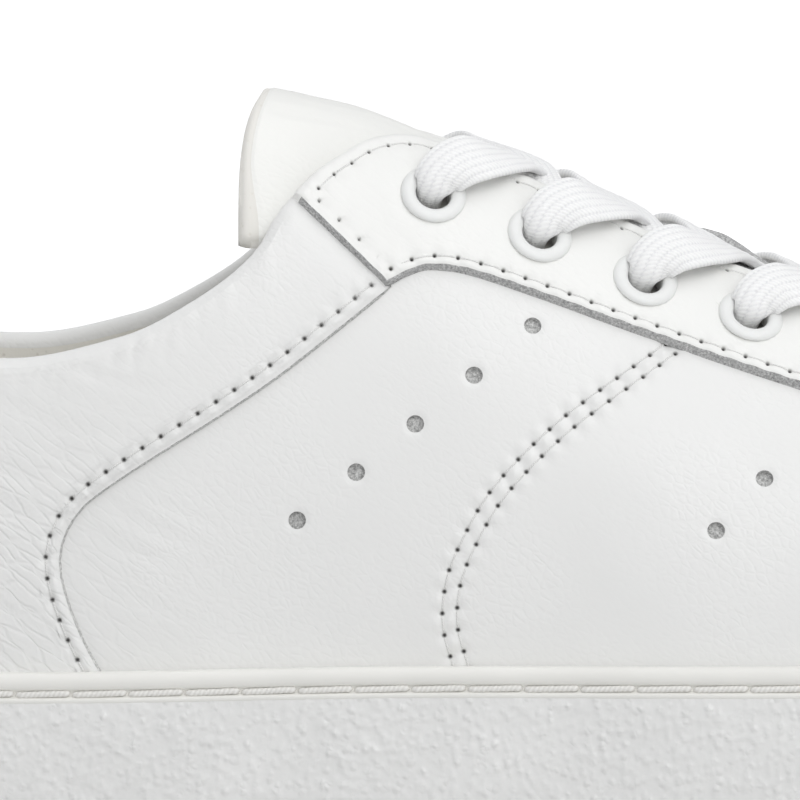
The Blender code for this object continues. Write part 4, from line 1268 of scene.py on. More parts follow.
# %% Eyestay's edges
EYESTAY_THICK, BASE_GAP = 1.45, 0.1  # the gap is the glue between two layers
EYESTAY_CORNER = 119.4
EYESTAY_LOW = ((132.6, 76.6), (135.9, 78.2), (139.6, 78.9), (147.5, 77.3), (167.8, 70),
               (191.6, 61.9), (204, 58))
EYESTAY_FRONT = ((216, 30.2), (227.5, 25.2), (236, 16), (240.2, 7), (241.2, 0))
BULGE_STATION, BULGE_RISE = 181.5, 2.6  # the lace pushes the medial throat edge up here
# how far out and how far down each row of a cut edge goes
CUT_PROFILE = ((0.08, 0.12), (0.20, 0.45), (0.34, 0.85), (0.48, 1.25), (0.55, 1.6))


def eyestay_edges(side):
    """Throat edge and lower edge of the eyestay on one side, from the collar forward."""
    stations = np.concatenate([np.linspace(EYESTAY_CORNER, 204, 60, endpoint=False),
                               eased(204, THROAT_END, 30, "stop"), [THROAT_END]])
    inner = on_last(stations, side, top_rise(stations, side))
    tip = on_last(THROAT_END + 0.3, side, rise_at(THROAT_END + 0.3, side, 0.0))
    low = [on_last(x, side, z - floor_height(x)) for x, z in EYESTAY_LOW]
    low += [on_last(x, side, rise_at(x, side, half)) for x, half in EYESTAY_FRONT]
    return np.concatenate([inner, tip[None]]), snap(smooth_line(low))


eyestay_lines = {side: eyestay_edges(side) for side in SIDES}


# %% Eyestay
RING_HOLE, HOLE_DEPTH, NEAR_EYELET = 3.3, 1.4, 4.2
# the dent and the swelling round an eyelet: height, distance and width
DENT, SWELLING = (-0.24, 4.4, 0.9), (0.10, 6.8, 1.3)
LOW_ROW, BACK_ROW, INNER_ROW = 1.25, 1.5, 1.9  # the stitch rows' distances from the edges
eyestay_seams = {}
for side in SIDES:
    inner, low = eyestay_lines[side]
    back = snap(np.linspace(low[0], inner[0], 40))
    low_row = beside(low, -side * LOW_ROW)
    back_row = beside(spaced(back, 0.5), side * BACK_ROW)
    inner_row = beside(spaced(inner, 0.5), side * INNER_ROW)
    eyestay_seams[side] = [Seam(low_row[2:], 0.2, 0.6, 0.31, first=0.4),
                           Seam(back_row, 0.16, 0.6, 0.25, first=3.1),
                           Seam(inner_row[3:-2], 0.16, 0.6, 0.25, first=1.2)]


def make_eyestay():
    bm = new_panel()
    shares = np.linspace(0, 1, 130)
    for side in SIDES:
        inner, low = eyestay_lines[side]
        top, base = resample(inner, shares), resample(low, shares)
        across = np.linspace(0, 1, 21)[None, :, None]
        grid(bm, snap(base[:, None] * (1 - across) + top[:, None] * across), flip=side > 0)
    bmesh.ops.remove_doubles(bm, verts=bm.verts, dist=0.05)
    edges = np.concatenate([np.concatenate(eyestay_lines[side]) for side in SIDES])
    split_near(bm, edges, 2.6)
    for side in SIDES:
        split_for_seams(bm, eyestay_seams[side], 0.9, finer=False)
    settle(bm)
    for side in SIDES:
        for spot in eyelets[side]:
            punch(bm, spot, RING_HOLE, HOLE_DEPTH, 32, closed=False)
    bmesh.ops.recalc_face_normals(bm, faces=bm.faces)
    spots = [Vector(p) for side in SIDES for p in eyelets[side]]
    outer = side_edges(bm, lambda co: min((co - p).length for p in spots) > NEAR_EYELET)
    throats = find_near(np.concatenate([eyestay_lines[side][0] for side in SIDES]))
    coated = [e for e in outer if all(v.co.x < 150 and throats.find(v.co)[2] < 1.2
                                      for v in e.verts)]
    chosen = set(coated)
    turn_edge(bm, coated, CUT_PROFILE, 0)
    turn_edge(bm, [e for e in outer if e not in chosen], CUT_PROFILE, 1)
    backs = np.concatenate([snap(np.linspace(low[0], inner[0], 30))
                            for inner, low in eyestay_lines.values()])

    def heights(points):
        """Rolled edges, stitches, and round each eyelet a dent and a low swelling."""
        total, dark = sewn(points, eyestay_seams[LATERAL] + eyestay_seams[MEDIAL])
        off, _ = near_line(points, edges)
        total += 0.04 * rumple(points, 5.0, 6.0) - 0.22 * bell(off, 0.4)
        for spot in np.concatenate([eyelets[side] for side in SIDES]):
            total += round_mark(points, spot, DENT) + round_mark(points, spot, SWELLING)
        off, _ = near_line(points, eyestay_lines[MEDIAL][0])
        behind, _ = near_line(points, backs)
        raised = 0.3 * bell(behind, 3.5)
        raised += BULGE_RISE * bell(points[:, 0] - BULGE_STATION, 6.5) * bell(off, 4.5)
        return total, dark, 0.15 * np.ones(len(points)), raised

    return finish_panel("eyestay_facing", bm, BASE_GAP + EYESTAY_THICK, heights,
                        [facing_leather, cut_edge], ["eyestay"])


make_eyestay()

# %% [markdown]
# ## Heel quarter and collar
# The heel quarter wraps the back of the shoe over the first skin. Its front edge is cut
# and stitched, and its top rolls over the collar's foam and goes down inside. The roll is
# made by carrying the top edge round half a circle. Leather gathers as it turns over foam,
# so short wrinkles stand across the roll.

# %% Heel quarter
QUARTER_THICK, COLLAR_ROLL, UNDER_EYESTAY = 1.25, 2.2, 3.0
FRONT_ROW, INTO_SHOE = 1.9, 3.0  # the stitch row's distance, and where the roll comes out
QUARTER_ROWS, PATCH_COLUMNS = 46, 42
quarter_lines, quarter_seams = {}, {}
for side in SIDES:
    x = EYESTAY_CORNER + UNDER_EYESTAY
    corner = on_last(x, side, top_rise(x, side) - COLLAR_ROLL)
    edge = side_line(QUARTER_EDGE, side)
    inside = snap(np.linspace(corner, edge[0], 3)[1])
    line = snap(spaced(np.concatenate([smooth_line([corner, inside, edge[0]]), edge[1:]]), 0.5))
    quarter_lines[side] = line
    quarter_seams[side] = [Seam(beside(edge, side * FRONT_ROW)[4:], 0.3, 0.8, 0.34,
                                first=0.3, pitch=SHORT_PITCH)]


def quarter_grid(side):
    """Columns from the heel forward, then a patch between collar, sole and front edge."""
    stations = np.concatenate([eased(HEEL_BACK, MIDDLE, 40), [MIDDLE]])
    low = rib(stations) - SOLE_HIDDEN - floor_height(stations)
    high = top_rise(stations, side) - COLLAR_ROLL
    back = columns(stations, side, low, high, QUARTER_ROWS)
    up = np.linspace(0, 1, QUARTER_ROWS)
    front = resample(quarter_lines[side][::-1], up)
    start = back[-1]
    made = []
    for share in np.linspace(0, 1, PATCH_COLUMNS)[1:]:
        x, z = (start[:, k] + (front[:, k] - start[:, k]) * share for k in (0, 2))
        collar = top_rise(x[-1], side) + floor_height(x[-1]) - COLLAR_ROLL
        z = z + (collar - z[-1]) * up ** 5 + (rib(x[0]) - SOLE_HIDDEN - z[0]) * (1 - up) ** 5
        made.append(on_last(x, side, z - floor_height(x)))
    return np.concatenate([back, np.stack(made)])


# start station and height, end station and height, depth, width
HEEL_FOLDS = (
    (62, 58, 86, 47, 0.20, 1.2), (66, 52, 88, 41, 0.16, 1.0), (64, 47, 84, 36, 0.18, 1.1),
    (66, 41, 84, 31, 0.14, 0.9), (68, 36, 86, 26, 0.16, 1.0), (58, 38, 74, 27, 0.14, 1.1),
    (74, 61, 98, 54, 0.12, 1.0), (78, 57, 95, 50.5, 0.10, 0.8), (84, 66, 104, 61, 0.10, 0.9),
    (50, 62, 66, 50, 0.20, 1.5), (44, 54, 58, 42, 0.18, 1.4),
)


def below_top(points):
    """How far each point is below the top edge of its own side."""
    x = points[:, 0]
    top = np.where(points[:, 1] > 0, top_rise(x, MEDIAL), top_rise(x, LATERAL))
    return top + floor_height(x) - points[:, 2]


GATHER = 0.35  # height of the wrinkles


def gathers(points, side):
    """Short wrinkles across the collar, strongest at its edge, set out along its length."""
    x = points[:, 0]
    below = top_rise(x, side) + floor_height(x) - points[:, 2]
    stations = np.linspace(0, 130, 400)
    edge = np.stack([stations, topline[side](stations)], -1)
    line = np.interp(x, stations, length_along(edge))
    wave = rumple(np.stack([line, 0.12 * below, 0 * x], -1), 1.5, 4.0)
    wave += 0.6 * rumple(np.stack([line, 0.2 * below, 0 * x], -1), 0.8, 7.0)
    reach = np.maximum(4.2 + 2.6 * rumple(np.stack([line, 0 * x, 0 * x], -1), 4.0, 2.0), 1.0)
    return GATHER * wave * np.exp(-(np.maximum(below - 1.5, 0) / reach) ** 1.3)


def make_heel_quarter():
    bm = new_panel()
    for side in SIDES:
        grid(bm, quarter_grid(side), flip=side > 0)
    bmesh.ops.remove_doubles(bm, verts=bm.verts, dist=0.02)
    x = np.linspace(8, EYESTAY_CORNER + UNDER_EYESTAY, 300)
    top_lines = [on_last(x, side, top_rise(x, side) - COLLAR_ROLL) for side in SIDES]
    split_near(bm, np.concatenate(top_lines), 3.6)
    for side in SIDES:
        split_near(bm, quarter_lines[side], 2.8)
        split_for_seams(bm, quarter_seams[side], 1.0, finer=False)
    settle(bm)
    bmesh.ops.recalc_face_normals(bm, faces=bm.faces)
    edge_points = np.concatenate([quarter_lines[side] for side in SIDES])
    fronts = find_near(edge_points)
    front = side_edges(bm, lambda co: fronts.find(co)[2] < 0.5)
    chosen = set(front)
    roll = [e for e in side_edges(bm, lambda co: co.z > 50) if e not in chosen]
    turn_edge(bm, front, [(out * 0.55, down * 0.95) for out, down in CUT_PROFILE], 2)
    height = QUARTER_THICK + BASE_GAP
    radius = (height + INTO_SHOE) / 2
    angles = np.radians(np.linspace(0, 180, 11)[1:])
    turn_edge(bm, roll, [(radius * math.sin(a), radius * (1 - math.cos(a))) for a in angles], 0)

    def heights(points):
        """A pressed edge, thinner leather where the eyestay lies over it, and creases."""
        x, y, z = points.T
        total, dark = sewn(points, quarter_seams[LATERAL] + quarter_seams[MEDIAL])
        total += 0.05 * rumple(points, 6.0, 3.0)
        off, _ = near_line(points, edge_points)
        total -= 0.35 * bell(off, 0.55)
        total += 0.10 * bell(off - 1.1, 0.5) * (off < 4)
        (corner_x, corner_z), skive = EYESTAY_LOW[0], 1.0
        under = x - corner_x + (z - corner_z) * 1.1
        total -= skive * smoothstep(-4.5, 1.0, under) * smoothstep(108, 118, x)
        for side in SIDES:
            mine = (y > centre_line(x)) == (side > 0)
            extra = folds(points, HEEL_FOLDS, side) + gathers(points, side)
            total += np.where(mine, extra, 0.0)
        use = 0.12 + 0.88 * smoothstep(104, 82, x) * smoothstep(4, 26, below_top(points))
        return total, dark, use, 0.0

    return finish_panel("heel_quarter_leather", bm, height, heights,
                        [white_leather, cut_edge, hole_fibre],
                        ["heel_quarter"])


make_heel_quarter()

# %% [markdown]
# ## Lining and insole
# Inside, a pigskin lining runs from the insole to the collar's roll and up to the throat.
# It is a second skin, 2 to 3 mm inside the last. The insole is a flat cut cushion with a
# shallow heel cup, covered with brushed textile.

# %% Lining
LINING_LEVEL = -2.0  # from the last
LINING_COLUMNS, LINING_ROWS = (24, 100, 26), 30


def make_lining():
    stations = heel_to_toe(HEEL_BACK, TOE_START, TOE_TIP, LINING_COLUMNS)
    bm = new_panel()
    for side in SIDES:
        top = top_rise(stations, side)
        rolled = top - COLLAR_ROLL * smoothstep(124, 116, stations)
        top = np.where(stations < THROAT_END, rolled, top)
        low = np.minimum(3.0, 0.5 * top)
        grid(bm, columns(stations, side, low, top, LINING_ROWS), flip=side < 0)
    bmesh.ops.remove_doubles(bm, verts=bm.verts, dist=0.02)
    settle(bm)
    rims = side_edges(bm, lambda co: co.z > 50 and co.x > 117)
    turn_edge(bm, rims, [(0.05, -0.6), (0.05, -1.2), (0.0, -1.9)], 0)

    def heights(points):
        x = points[:, 0]
        side = np.where(points[:, 1] > centre_line(x), 1, -1)
        top = np.where(side > 0, top_rise(x, MEDIAL), top_rise(x, LATERAL)) + floor_height(x)
        pad = smoothstep(20, 7, top - points[:, 2]) * smoothstep(126, 114, x)
        wrinkle = 0.12 * rumple(points, 16.0, 4.0) + 0.06 * pad * rumple(points, 4.0, 6.0)
        return wrinkle - 1.0 * pad, 0 * x, 0 * x, 0.0

    return finish_panel("lining", bm, LINING_LEVEL, heights, [lining_skin], ["upper"])


make_lining()


# %% Insole
INSOLE_ROWS, INSOLE_GAP, HEEL_CUP, EDGE_DROP = 60, 1.9, 1.1, 0.9


def make_insole():
    near, far = (ring(INSOLE, side, -INSOLE_GAP, SIDE_POINTS // 2) for side in SIDES)
    share = np.linspace(0, 1, INSOLE_ROWS)[:, None, None]
    points = near[None] * (1 - share) + far[None] * share
    row = np.arange(INSOLE_ROWS)
    edge = np.minimum(row, row[::-1])[:, None]
    x, y = points[..., 0], points[..., 1]
    cup = HEEL_CUP * smoothstep(0.0, 1.0, (np.abs(y) / 30) ** 2) * smoothstep(110, 60, x)
    drop = EDGE_DROP * smoothstep(2, 0, edge)
    points[..., 2] = floor_height(x) + INSOLE - 0.2 + cup - drop
    top = points.reshape(-1, 3)
    under = top.copy()
    under[:, 2] = floor_height(under[:, 0]) + 0.4
    count = len(near)
    faces = [f[::-1] for f in grid_faces(INSOLE_ROWS, count)]
    faces += [tuple(len(top) + k for k in f) for f in grid_faces(INSOLE_ROWS, count)]
    for k in range(count - 1):
        for row, flip in ((0, False), (INSOLE_ROWS - 1, True)):
            a, b = row * count + k, row * count + k + 1
            quad = (a, b, b + len(top), a + len(top))
            faces.append(quad[::-1] if flip else quad)
    return mesh_from("insole_cushion", np.concatenate([top, under]), faces, [insole_cloth],
                     ["insole"])


make_insole()

# %% [markdown]
# ## Tongue
# The tongue is a soft, thin pad: white leather outside, pigskin inside, folded together at
# the edge so that a narrow band of lining shows. It lies under the facings, follows the
# instep's crown and stands up past the collar. Its top edge leans back at the sides, and
# fine lengthwise wrinkles run down from it.

# %% Tongue
# station, half width along the leather, height of the crown
TONGUE_ROWS = ((112, 40, 105.3), (116.2, 40, 104.5), (119, 39, 103.9), (124, 36, 102.7),
               (131, 33, 100.8), (139, 32, 97.8), (150, 31.5, 92.6), (160, 31, 87.3),
               (172, 30, 81.6), (185, 29, 76.2), (205, 27, 69.4), (220, 25, 64.8),
               (234, 20, 60.4))
tongue_half, tongue_crown = curve(TONGUE_ROWS, 1), curve(TONGUE_ROWS, 2)
TONGUE_CREST, TONGUE_THICK, TONGUE_BACK, TONGUE_FRONT = 18.0, 3.2, 115.7, 234.0
TONGUE_LENGTH, TONGUE_EDGE = TONGUE_FRONT - TONGUE_BACK, 30.0
BAND, BAND_GROOVE, WRINKLE, PUFF = 1.15, 0.22, 0.16, 0.22


def tongue_surface(shares, across):
    """Middle surface of the tongue; across goes from -1 on the lateral to 1 on the medial."""
    made = []
    for share in shares:
        station = TONGUE_BACK + TONGUE_LENGTH * share
        ridge_rise = float(rise_at(station, 1, 0.0))
        lines = {side: columns([station], side, 0.3 * ridge_rise, ridge_rise, 120)[0][::-1]
                 for side in SIDES}
        row = []
        for a in across:
            line = lines[MEDIAL if a > 0 else LATERAL]
            want = abs(a) * float(tongue_half(station))
            row.append(resample(line, [want / length_along(line)[-1]])[0])
        row = np.array(row)
        pad = 0.6 + 1.1 * smoothstep(131, 122, station)
        row = row - outward(row) * (2.2 + pad)
        off = np.abs(row[:, 1] - centre_line(station)) / TONGUE_CREST
        hump = np.cos(np.minimum(off, 1) * math.pi / 2) ** 2
        middle = row[len(row) // 2, 2]
        row[:, 2] += (float(tongue_crown(station)) - middle) * hump
        drop = row[:, 2].max() - row[:, 2]
        row[:, 0] -= smoothstep(0.16, 0.0, share) * 4.5 * (1 - np.exp(-drop / 6.5))
        made.append(row)
    return np.array(made)


def make_tongue():
    shares = np.concatenate([np.linspace(0, 0.03, 15), np.linspace(0.03, 0.24, 50)[1:],
                             np.linspace(0.24, 1, 70)[1:]])
    across = np.linspace(-1, 1, 91)
    surface = tongue_surface(shares, across)
    run = np.broadcast_to(shares[:, None] * TONGUE_LENGTH, surface.shape[:2])
    band_wide = BAND + 1.3 * smoothstep(0.6, 0.95, np.abs(across))
    spread = (band_wide / BAND - 1)[None, :] * smoothstep(7, BAND, run)
    wanted = run * (1 + spread)  # rows bend so that one of them follows the band's edge
    surface = np.stack([np.stack([np.interp(wanted[:, k], run[:, k], surface[:, k, axis])
                                  for k in range(len(across))], 1) for axis in range(3)], -1)
    in_band = run < BAND - 0.01
    run = wanted
    along = unit(np.gradient(surface, axis=0))
    sideways = unit(np.gradient(surface, axis=1))
    normal = unit(np.cross(along, sideways))
    u = np.broadcast_to(across, run.shape)
    plan = np.stack([0.12 * run, u * TONGUE_EDGE, 0 * u], -1).reshape(-1, 3)
    lines = (rumple(plan, 1.7, 3.0) + 0.6 * rumple(plan, 0.9, 9.0)).reshape(u.shape)
    where = smoothstep(0, 4, run) * smoothstep(60, 18, run) * smoothstep(0.9, 0.3, np.abs(u))
    soft = PUFF * rumple(surface.reshape(-1, 3), 11.0, 5.0).reshape(u.shape)
    rim = np.clip(np.minimum(run, (1 - np.abs(u)) * TONGUE_EDGE) / (TONGUE_THICK / 2), 0, 1)
    fall = TONGUE_THICK * 0.5 * (1 - np.sqrt(rim * (2 - rim)))
    groove = BAND_GROOVE * bell(run - band_wide, 0.3)
    outer = surface + normal * (WRINKLE * lines * where + soft - fall - groove)[..., None]
    inner = surface - normal * (TONGUE_THICK - fall)[..., None]
    rows, count = u.shape
    faces = [f[::-1] for f in grid_faces(rows, count)]
    shift = rows * count
    under = [tuple(shift + k for k in f) for f in grid_faces(rows, count)]
    border = list(range(count)) + [r * count + count - 1 for r in range(1, rows)]
    border += [(rows - 1) * count + k for k in range(count - 2, -1, -1)]
    border += [r * count for r in range(rows - 2, 0, -1)]
    band = [(a, b, b + shift, a + shift) for a, b in zip(border, border[1:] + border[:1])]
    points = np.concatenate([outer.reshape(-1, 3), inner.reshape(-1, 3)])
    piece = mesh_from("tongue_pad", points, faces + under + band, [tongue_leather, tongue_skin],
                      ["tongue"])
    bound = in_band[:-1, :-1].ravel().astype(int)
    kinds = bound.tolist() + [1] * (len(under) + len(band))
    piece.data.polygons.foreach_set("material_index", kinds)
    bm = bmesh.new()
    bm.from_mesh(piece.data)
    bmesh.ops.recalc_face_normals(bm, faces=bm.faces)
    bm.to_mesh(piece.data)
    bm.free()
    return piece


tongue = make_tongue()

# %% [markdown]
# ## Eyelets
# Each eyelet is a stamped ring with a rolled rim and a barrel through the leather. A lathe
# makes it: one profile turned round an axis. All twelve share one mesh, set square to the
# leather where each one sits.

# %% Eyelets
EYELET_HOLE, EYELET_RIM, BARREL_END = 2.7, 4.85, -2.4
RIM_REACH, RIM_HIGH, RIM_LEVEL = 1.07, 0.58, 0.14  # the rolled rim is half an ellipse
EYELET_TURNS, EYELET_SUNK = 72, 0.12  # the ring presses a little into the leather


def eyelet_mesh():
    """Rows of radius and height, from inside the barrel over the rim and back down."""
    profile = [(EYELET_HOLE - 0.05, BARREL_END), (EYELET_HOLE - 0.05, 0.15)]
    for angle in np.radians(np.linspace(170, 12, 12)):
        profile.append(((EYELET_HOLE + EYELET_RIM) / 2 + RIM_REACH * math.cos(angle),
                        RIM_LEVEL + RIM_HIGH * math.sin(angle)))
    profile += [(EYELET_RIM, 0.0), (EYELET_RIM - 0.35, -0.35), (EYELET_HOLE + 0.35, -0.4),
                (EYELET_HOLE + 0.3, BARREL_END)]
    angles = np.linspace(0, 2 * math.pi, EYELET_TURNS, endpoint=False)
    points = [(r * math.cos(a), r * math.sin(a), z) for r, z in profile for a in angles]
    faces = grid_faces(len(profile), EYELET_TURNS, closed=True)
    first = (len(profile) - 1) * EYELET_TURNS
    for k in range(EYELET_TURNS):
        after = (k + 1) % EYELET_TURNS
        faces.append((first + k, first + after, after, k))
    mesh = bpy.data.meshes.new("eyelet")
    mesh.from_pydata((np.array(points) * MM).tolist(), [], faces)
    mesh.materials.append(enamel)
    mesh.shade_smooth()
    return mesh


def place_eyelets():
    mesh = eyelet_mesh()
    for side, word in ((LATERAL, "lateral"), (MEDIAL, "medial")):
        for number, spot in enumerate(eyelets[side]):
            axis = outward(spot)
            piece = bpy.data.objects.new(f"eyelet_ring_{word}_{number + 1}", mesh)
            bpy.context.scene.collection.objects.link(piece)
            lift = BASE_GAP + EYESTAY_THICK - EYELET_SUNK + float(body_wave(spot[None])[0])
            piece.location = to_world(spot + axis * lift)
            piece.rotation_mode = "QUATERNION"
            piece.rotation_quaternion = Vector(axis).to_track_quat("Z", "Y")
            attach(piece, "root")
            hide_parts(f"eyelet_{word}_{number + 1}")
    print("eyelets:", 2 * EYELETS)


place_eyelets()

# %% [markdown]
# ## Lace
# The lace is flat, woven in seven cords. In every eyelet it bunches into a loose tube,
# then opens out and lies flat over the facing, crosses the tongue and tucks under the
# other side's edge. A curve with a bevel can't fold like that, so each stretch is a grid
# of its own: a path, a face direction for each point of the path, and a curl that bends
# the section from flat to tube.

# %% One stretch of lace
LACE_STEP, LACE_ACROSS, CORD_HIGH, LACE_WOBBLE = 0.6, 43, 0.13, 0.07


def lace_stretch(controls):
    """A flat lace along control rows of point, face direction, curl and width share."""
    rows = np.array([[*point, *face, curl, share] for point, face, curl, share in controls])
    path = smooth_line(rows, LACE_STEP)
    line, face, curl, share = path[:, :3], path[:, 3:6], path[:, 6], path[:, 7]
    along = unit(np.gradient(line, axis=0))
    across = unit(np.cross(face, along))
    up = np.cross(along, across)
    u = np.linspace(-1, 1, LACE_ACROSS)
    flat = LACE_WIDTH / 2 * u
    thick = LACE_THICK / 2 * np.sqrt(np.clip(1 - np.abs(u) ** 5, 0.0, 1))
    cords = CORD_HIGH * np.abs(np.cos(math.pi * CORDS * (u + 1) / 2 + math.pi / 2))
    rings = []
    for layer in (1, -1):
        order = slice(None) if layer > 0 else slice(-2, 0, -1)
        w = flat[order][None, :] * share[:, None]
        bend = np.maximum(np.abs(curl), 1e-4)[:, None] * np.sign(curl + 1e-9)[:, None]
        angle = w * bend
        x, z = np.sin(angle) / bend, (np.cos(angle) - 1) / bend
        lift = layer * (thick[order] + cords[order] * (np.abs(u[order]) < 0.97))[None, :]
        place = (x + lift * np.sin(angle))[..., None] * across[:, None]
        place = place + (z + lift * np.cos(angle))[..., None] * up[:, None]
        rings.append(line[:, None] + place)
    points = np.concatenate(rings, axis=1)
    lay_u = np.concatenate([flat, flat[-2:0:-1]]) + LACE_WIDTH / 2
    count = points.shape[1]
    wobble = LACE_WOBBLE * rumple(points.reshape(-1, 3), 2.6, 1.0).reshape(len(line), count)
    points = points + wobble[..., None] * up[:, None]
    lay = np.stack([np.tile(lay_u, len(line)), np.repeat(length_along(line), count)], -1)
    faces = [f[::-1] for f in grid_faces(len(line), count, closed=True)]
    faces.append(tuple(range(count)))
    faces.append(tuple(range(len(line) * count - 1, len(line) * count - count - 1, -1)))
    return points.reshape(-1, 3), faces, lay


# %% Paths of the lace
OVER_FACING = BASE_GAP + EYESTAY_THICK + 0.25
UP = np.array((0.34, 0.0, 0.94))  # square to the instep
BUNCH_CURL, BUNCH_SHARE = 0.72, 0.82
# height over the facing, way up, way toeward, tilt back, curl
ARCH = ((0.9, -0.2, -0.1, 1.8, 0.44), (2.3, 1.7, 0.4, 0.5, 0.26), (2.9, 4.2, 2.3, 0.15, 0.13),
        (2.3, 6.6, 5.4, 0.0, 0.07))
MEDIAL_ARCH = 0.35  # the medial lace is pulled flatter, to this share
OVER_TONGUE, TUCK_AHEAD, TUCK_DOWN, UNDER_DOWN, UNDER_IN = 1.2, 2.4, 1.7, 3.4, 4.0


def throat_point(station, side):
    return on_last(station, side, top_rise(station, side))


def from_eyelet(number, side, hug, lean=1.0):
    """Control rows from inside an eyelet, over its rim and up to the throat's edge."""
    spot = eyelets[side][number]
    axis = outward(spot)
    edge = throat_point(spot[0] + 1.0, side)
    climb = unit(edge - spot - axis * np.dot(edge - spot, axis))
    toe = unit(np.cross(climb, axis) * -side)
    rows = [(spot - axis * down - climb * back - toe * 0.4, -climb, BUNCH_CURL, BUNCH_SHARE)
            for down, back in ((3.0, 0.2), (0.2, 0.35))]
    start = ARCH[0][0]
    for above, up, forward, tilt, curl in ARCH:
        arch = above if side == LATERAL else start + MEDIAL_ARCH * (above - start)
        place = axis * (OVER_FACING + arch) + climb * up + toe * forward * lean
        rows.append((spot + place, unit(axis - climb * tilt), curl, 1.0))
    over = throat_point(spot[0] + 2.0 + 8.0 * lean, side) + UP * (OVER_FACING + hug)
    return rows, over


def crossing(number, side, lift, hug):
    """From an eyelet over the tongue, and in under the other side's facing."""
    rows, over = from_eyelet(number, side, hug)
    far = throat_point(FIRST_EYELET + EYELET_PITCH * (number + 1) + TUCK_AHEAD, -side)
    tuck = far + (0, side * 1.2, 0) - UP * TUCK_DOWN
    under = far + (0.5, -side * UNDER_IN, 0) - UP * UNDER_DOWN
    x = over[0] + 4.0
    mid = np.array((x, centre_line(x), float(tongue_crown(x)) + OVER_TONGUE + lift))
    for spot, roll, curl in (
            (over, side * 0.35, 0.05), (over * 0.5 + mid * 0.5 + UP * 0.3, 0, 0.03),
            (mid, 0, 0.02), (mid * 0.5 + tuck * 0.5 + UP * (0.4 + 0.3 * lift), 0, 0.03),
            (tuck, -side * 0.55, 0.05), (under, -side * 0.8, 0.05)):
        rows.append((spot, unit(UP + (0, roll, 0)) if roll else UP, curl, 1.0))
    return rows


def bar(number):
    """The straight bar across the front pair, into both eyelets."""
    (near, start), (far, stop) = (from_eyelet(number, side, 0.5, 0.2) for side in SIDES)
    across = [(start + (stop - start) * share, UP, 0.03, 1.0)
              for share in (0.05, 0.35, 0.65, 0.95)]
    return near + across + far[::-1]


def as_lace(name, stretches, node):
    piece = joined(name, [lace_stretch(rows) for rows in stretches], cotton)
    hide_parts(node)
    return piece


PULLED_LOW = 2  # the third crossing's medial half lies under the lateral half
for number in range(EYELETS - 1):
    high = LATERAL if number == PULLED_LOW else MEDIAL
    near, far = (crossing(number, side, 1.6 if side == high else 0.0,
                          0.75 if side == LATERAL else 0.25) for side in SIDES)
    as_lace(f"lace_{number + 1}", [near, far], f"lace_crossing_{number + 1}")
as_lace("lace_front_bar", [bar(EYELETS - 1)], "lace_bar")

# %% [markdown]
# ## Thread
# Every stitch is a short length of thread that comes up through one needle hole and goes
# down the next. The threads of a panel are one mesh, made in a loop along its seams.

# %% Thread
THREAD_RADIUS, THREAD_PROUD, THREAD_DIVE = 0.145, 0.05, 0.9


def stitches(name, seams, height):
    """Each stitch rests in its trough and dives into the needle holes at both ends."""
    t = np.linspace(0.085, 0.915, 9)[:, None]
    dive = np.maximum(0, np.abs(2 * t - 1) - 0.6) / 0.23
    pieces = []
    for seam in seams:
        normals = outward(seam.holes)
        lay_in = seam.trough * (0.75 + 0.25 * np.cos(2 * math.pi * t))
        level = height - lay_in + THREAD_PROUD - THREAD_DIVE * dive ** 1.5
        for k in range(seam.count):
            normal = unit(normals[k] * (1 - t) + normals[k + 1] * t)
            line = snap(seam.holes[k] * (1 - t) + seam.holes[k + 1] * t)
            line = line + normal * (level + body_wave(line)[:, None])
            pieces.append(tube(line, normal, THREAD_RADIUS, 7))
    return joined(name, pieces, thread)


for word, made, height, slot in (
        ("vamp", vamp_seams, 0.0, "white_leather"),
        ("eyestay", eyestay_seams, BASE_GAP + EYESTAY_THICK, "facing_leather"),
        ("quarter", quarter_seams, BASE_GAP + QUARTER_THICK, "white_leather")):
    stitches(f"thread_{word}", made[LATERAL] + made[MEDIAL], height)

# %% [markdown]
# ## Floor, light and camera
# The shoe stands on a wide pale floor that runs out of sight. It glows as painted light,
# weakly near the shoe, which is painted shade round it, and strongly far off. One soft light
# hangs over the toe, one stands in front and one behind, and the pale surroundings do the rest.
# The camera looks almost level at the lateral side of the instep through a long lens.

# %% Floor
FLOOR_HALF = 40.0  # metres


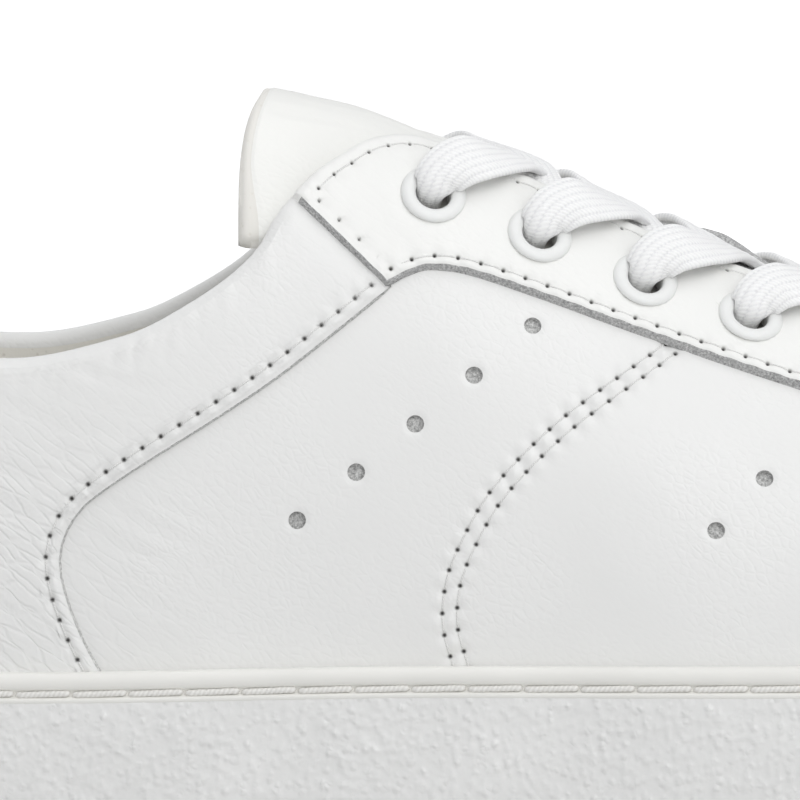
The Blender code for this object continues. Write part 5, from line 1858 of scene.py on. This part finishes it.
def make_floor():
    mesh = bpy.data.meshes.new("floor")
    corners = [(x * FLOOR_HALF, y * FLOOR_HALF, 0.0) for x, y in
               ((-1, -1), (1, -1), (1, 1), (-1, 1))]
    mesh.from_pydata(corners, [], [(0, 1, 2, 3)])
    m, shader = new_finish("glowing_white_floor", Base_Color=(0.42, 0.42, 0.42, 1), Roughness=0.9,
                           Specular_IOR_Level=0.1, Emission_Color=(1, 1, 1, 1))
    place = add_node(m, "TexCoord").outputs["Object"]
    # painted light: the floor glows, weakly near the shoe and strongly far away
    away = add_node(m, "VectorMath", {0: place}, operation="LENGTH")
    glow = add_node(m, "MapRange", {
        "Value": away, "From Min": 0.2, "From Max": 0.95, "To Min": 0.28, "To Max": 0.9},
        interpolation_type="SMOOTHSTEP")
    link_to(m, shader, Emission_Strength=glow)
    mesh.materials.append(m)
    floor = bpy.data.objects.new("floor", mesh)
    bpy.context.scene.collection.objects.link(floor)


make_floor()


# %% Light
# place, target, size, all in metres, and power in watts
LIGHTS = {"over_toe": ((0.35, -0.25, 1.1), (0.02, 0.0, 0.04), 0.7, 2.2),
          "front": ((0.42, -0.95, 0.85), (0.03, 0.0, 0.05), 0.8, 5.2),
          "behind": ((-0.7, 0.9, 0.9), (0.0, 0.0, 0.05), 0.9, 2.0)}
SURROUNDINGS, GLOW = "#FBFCFF", 0.55


def soft_light(name, place, target, size, power):
    data = bpy.data.lights.new(name, "AREA")
    data.shape, data.size, data.energy = "SQUARE", size, power
    lamp = bpy.data.objects.new(name, data)
    lamp.location = place
    lamp.rotation_euler = (Vector(target) - Vector(place)).to_track_quat("-Z", "Y").to_euler()
    bpy.context.scene.collection.objects.link(lamp)


world = bpy.data.worlds.new("pale_studio")
world.use_nodes = True
background = world.node_tree.nodes["Background"]
background.inputs["Color"].default_value = linear(SURROUNDINGS)
background.inputs["Strength"].default_value = GLOW
bpy.context.scene.world = world
for name, row in LIGHTS.items():
    soft_light(name, *row)
bpy.context.scene.view_settings.view_transform = "Standard"
bpy.context.scene.view_settings.look = "None"
print("lights:", len(LIGHTS))

# %% Camera
VIEW_STATION, VIEW_HEIGHT, VIEW_PLANE = 134.6, 61.0, -48.0
DISTANCE, ELEVATION, LENS = 1100.0, math.radians(4.0), 346.5


def place_camera():
    data = bpy.data.cameras.new("camera")
    data.sensor_width, data.lens = 36.0, LENS
    data.clip_start, data.clip_end = 0.05, 100.0
    camera = bpy.data.objects.new("camera", data)
    aim = to_world((VIEW_STATION, VIEW_PLANE, VIEW_HEIGHT))
    back = np.array((0.0, -math.cos(ELEVATION), math.sin(ELEVATION)))
    camera.location = aim + back * DISTANCE * MM
    camera.rotation_euler = (math.pi / 2 - ELEVATION, 0.0, 0.0)
    bpy.context.scene.collection.objects.link(camera)
    bpy.context.scene.camera = camera


place_camera()
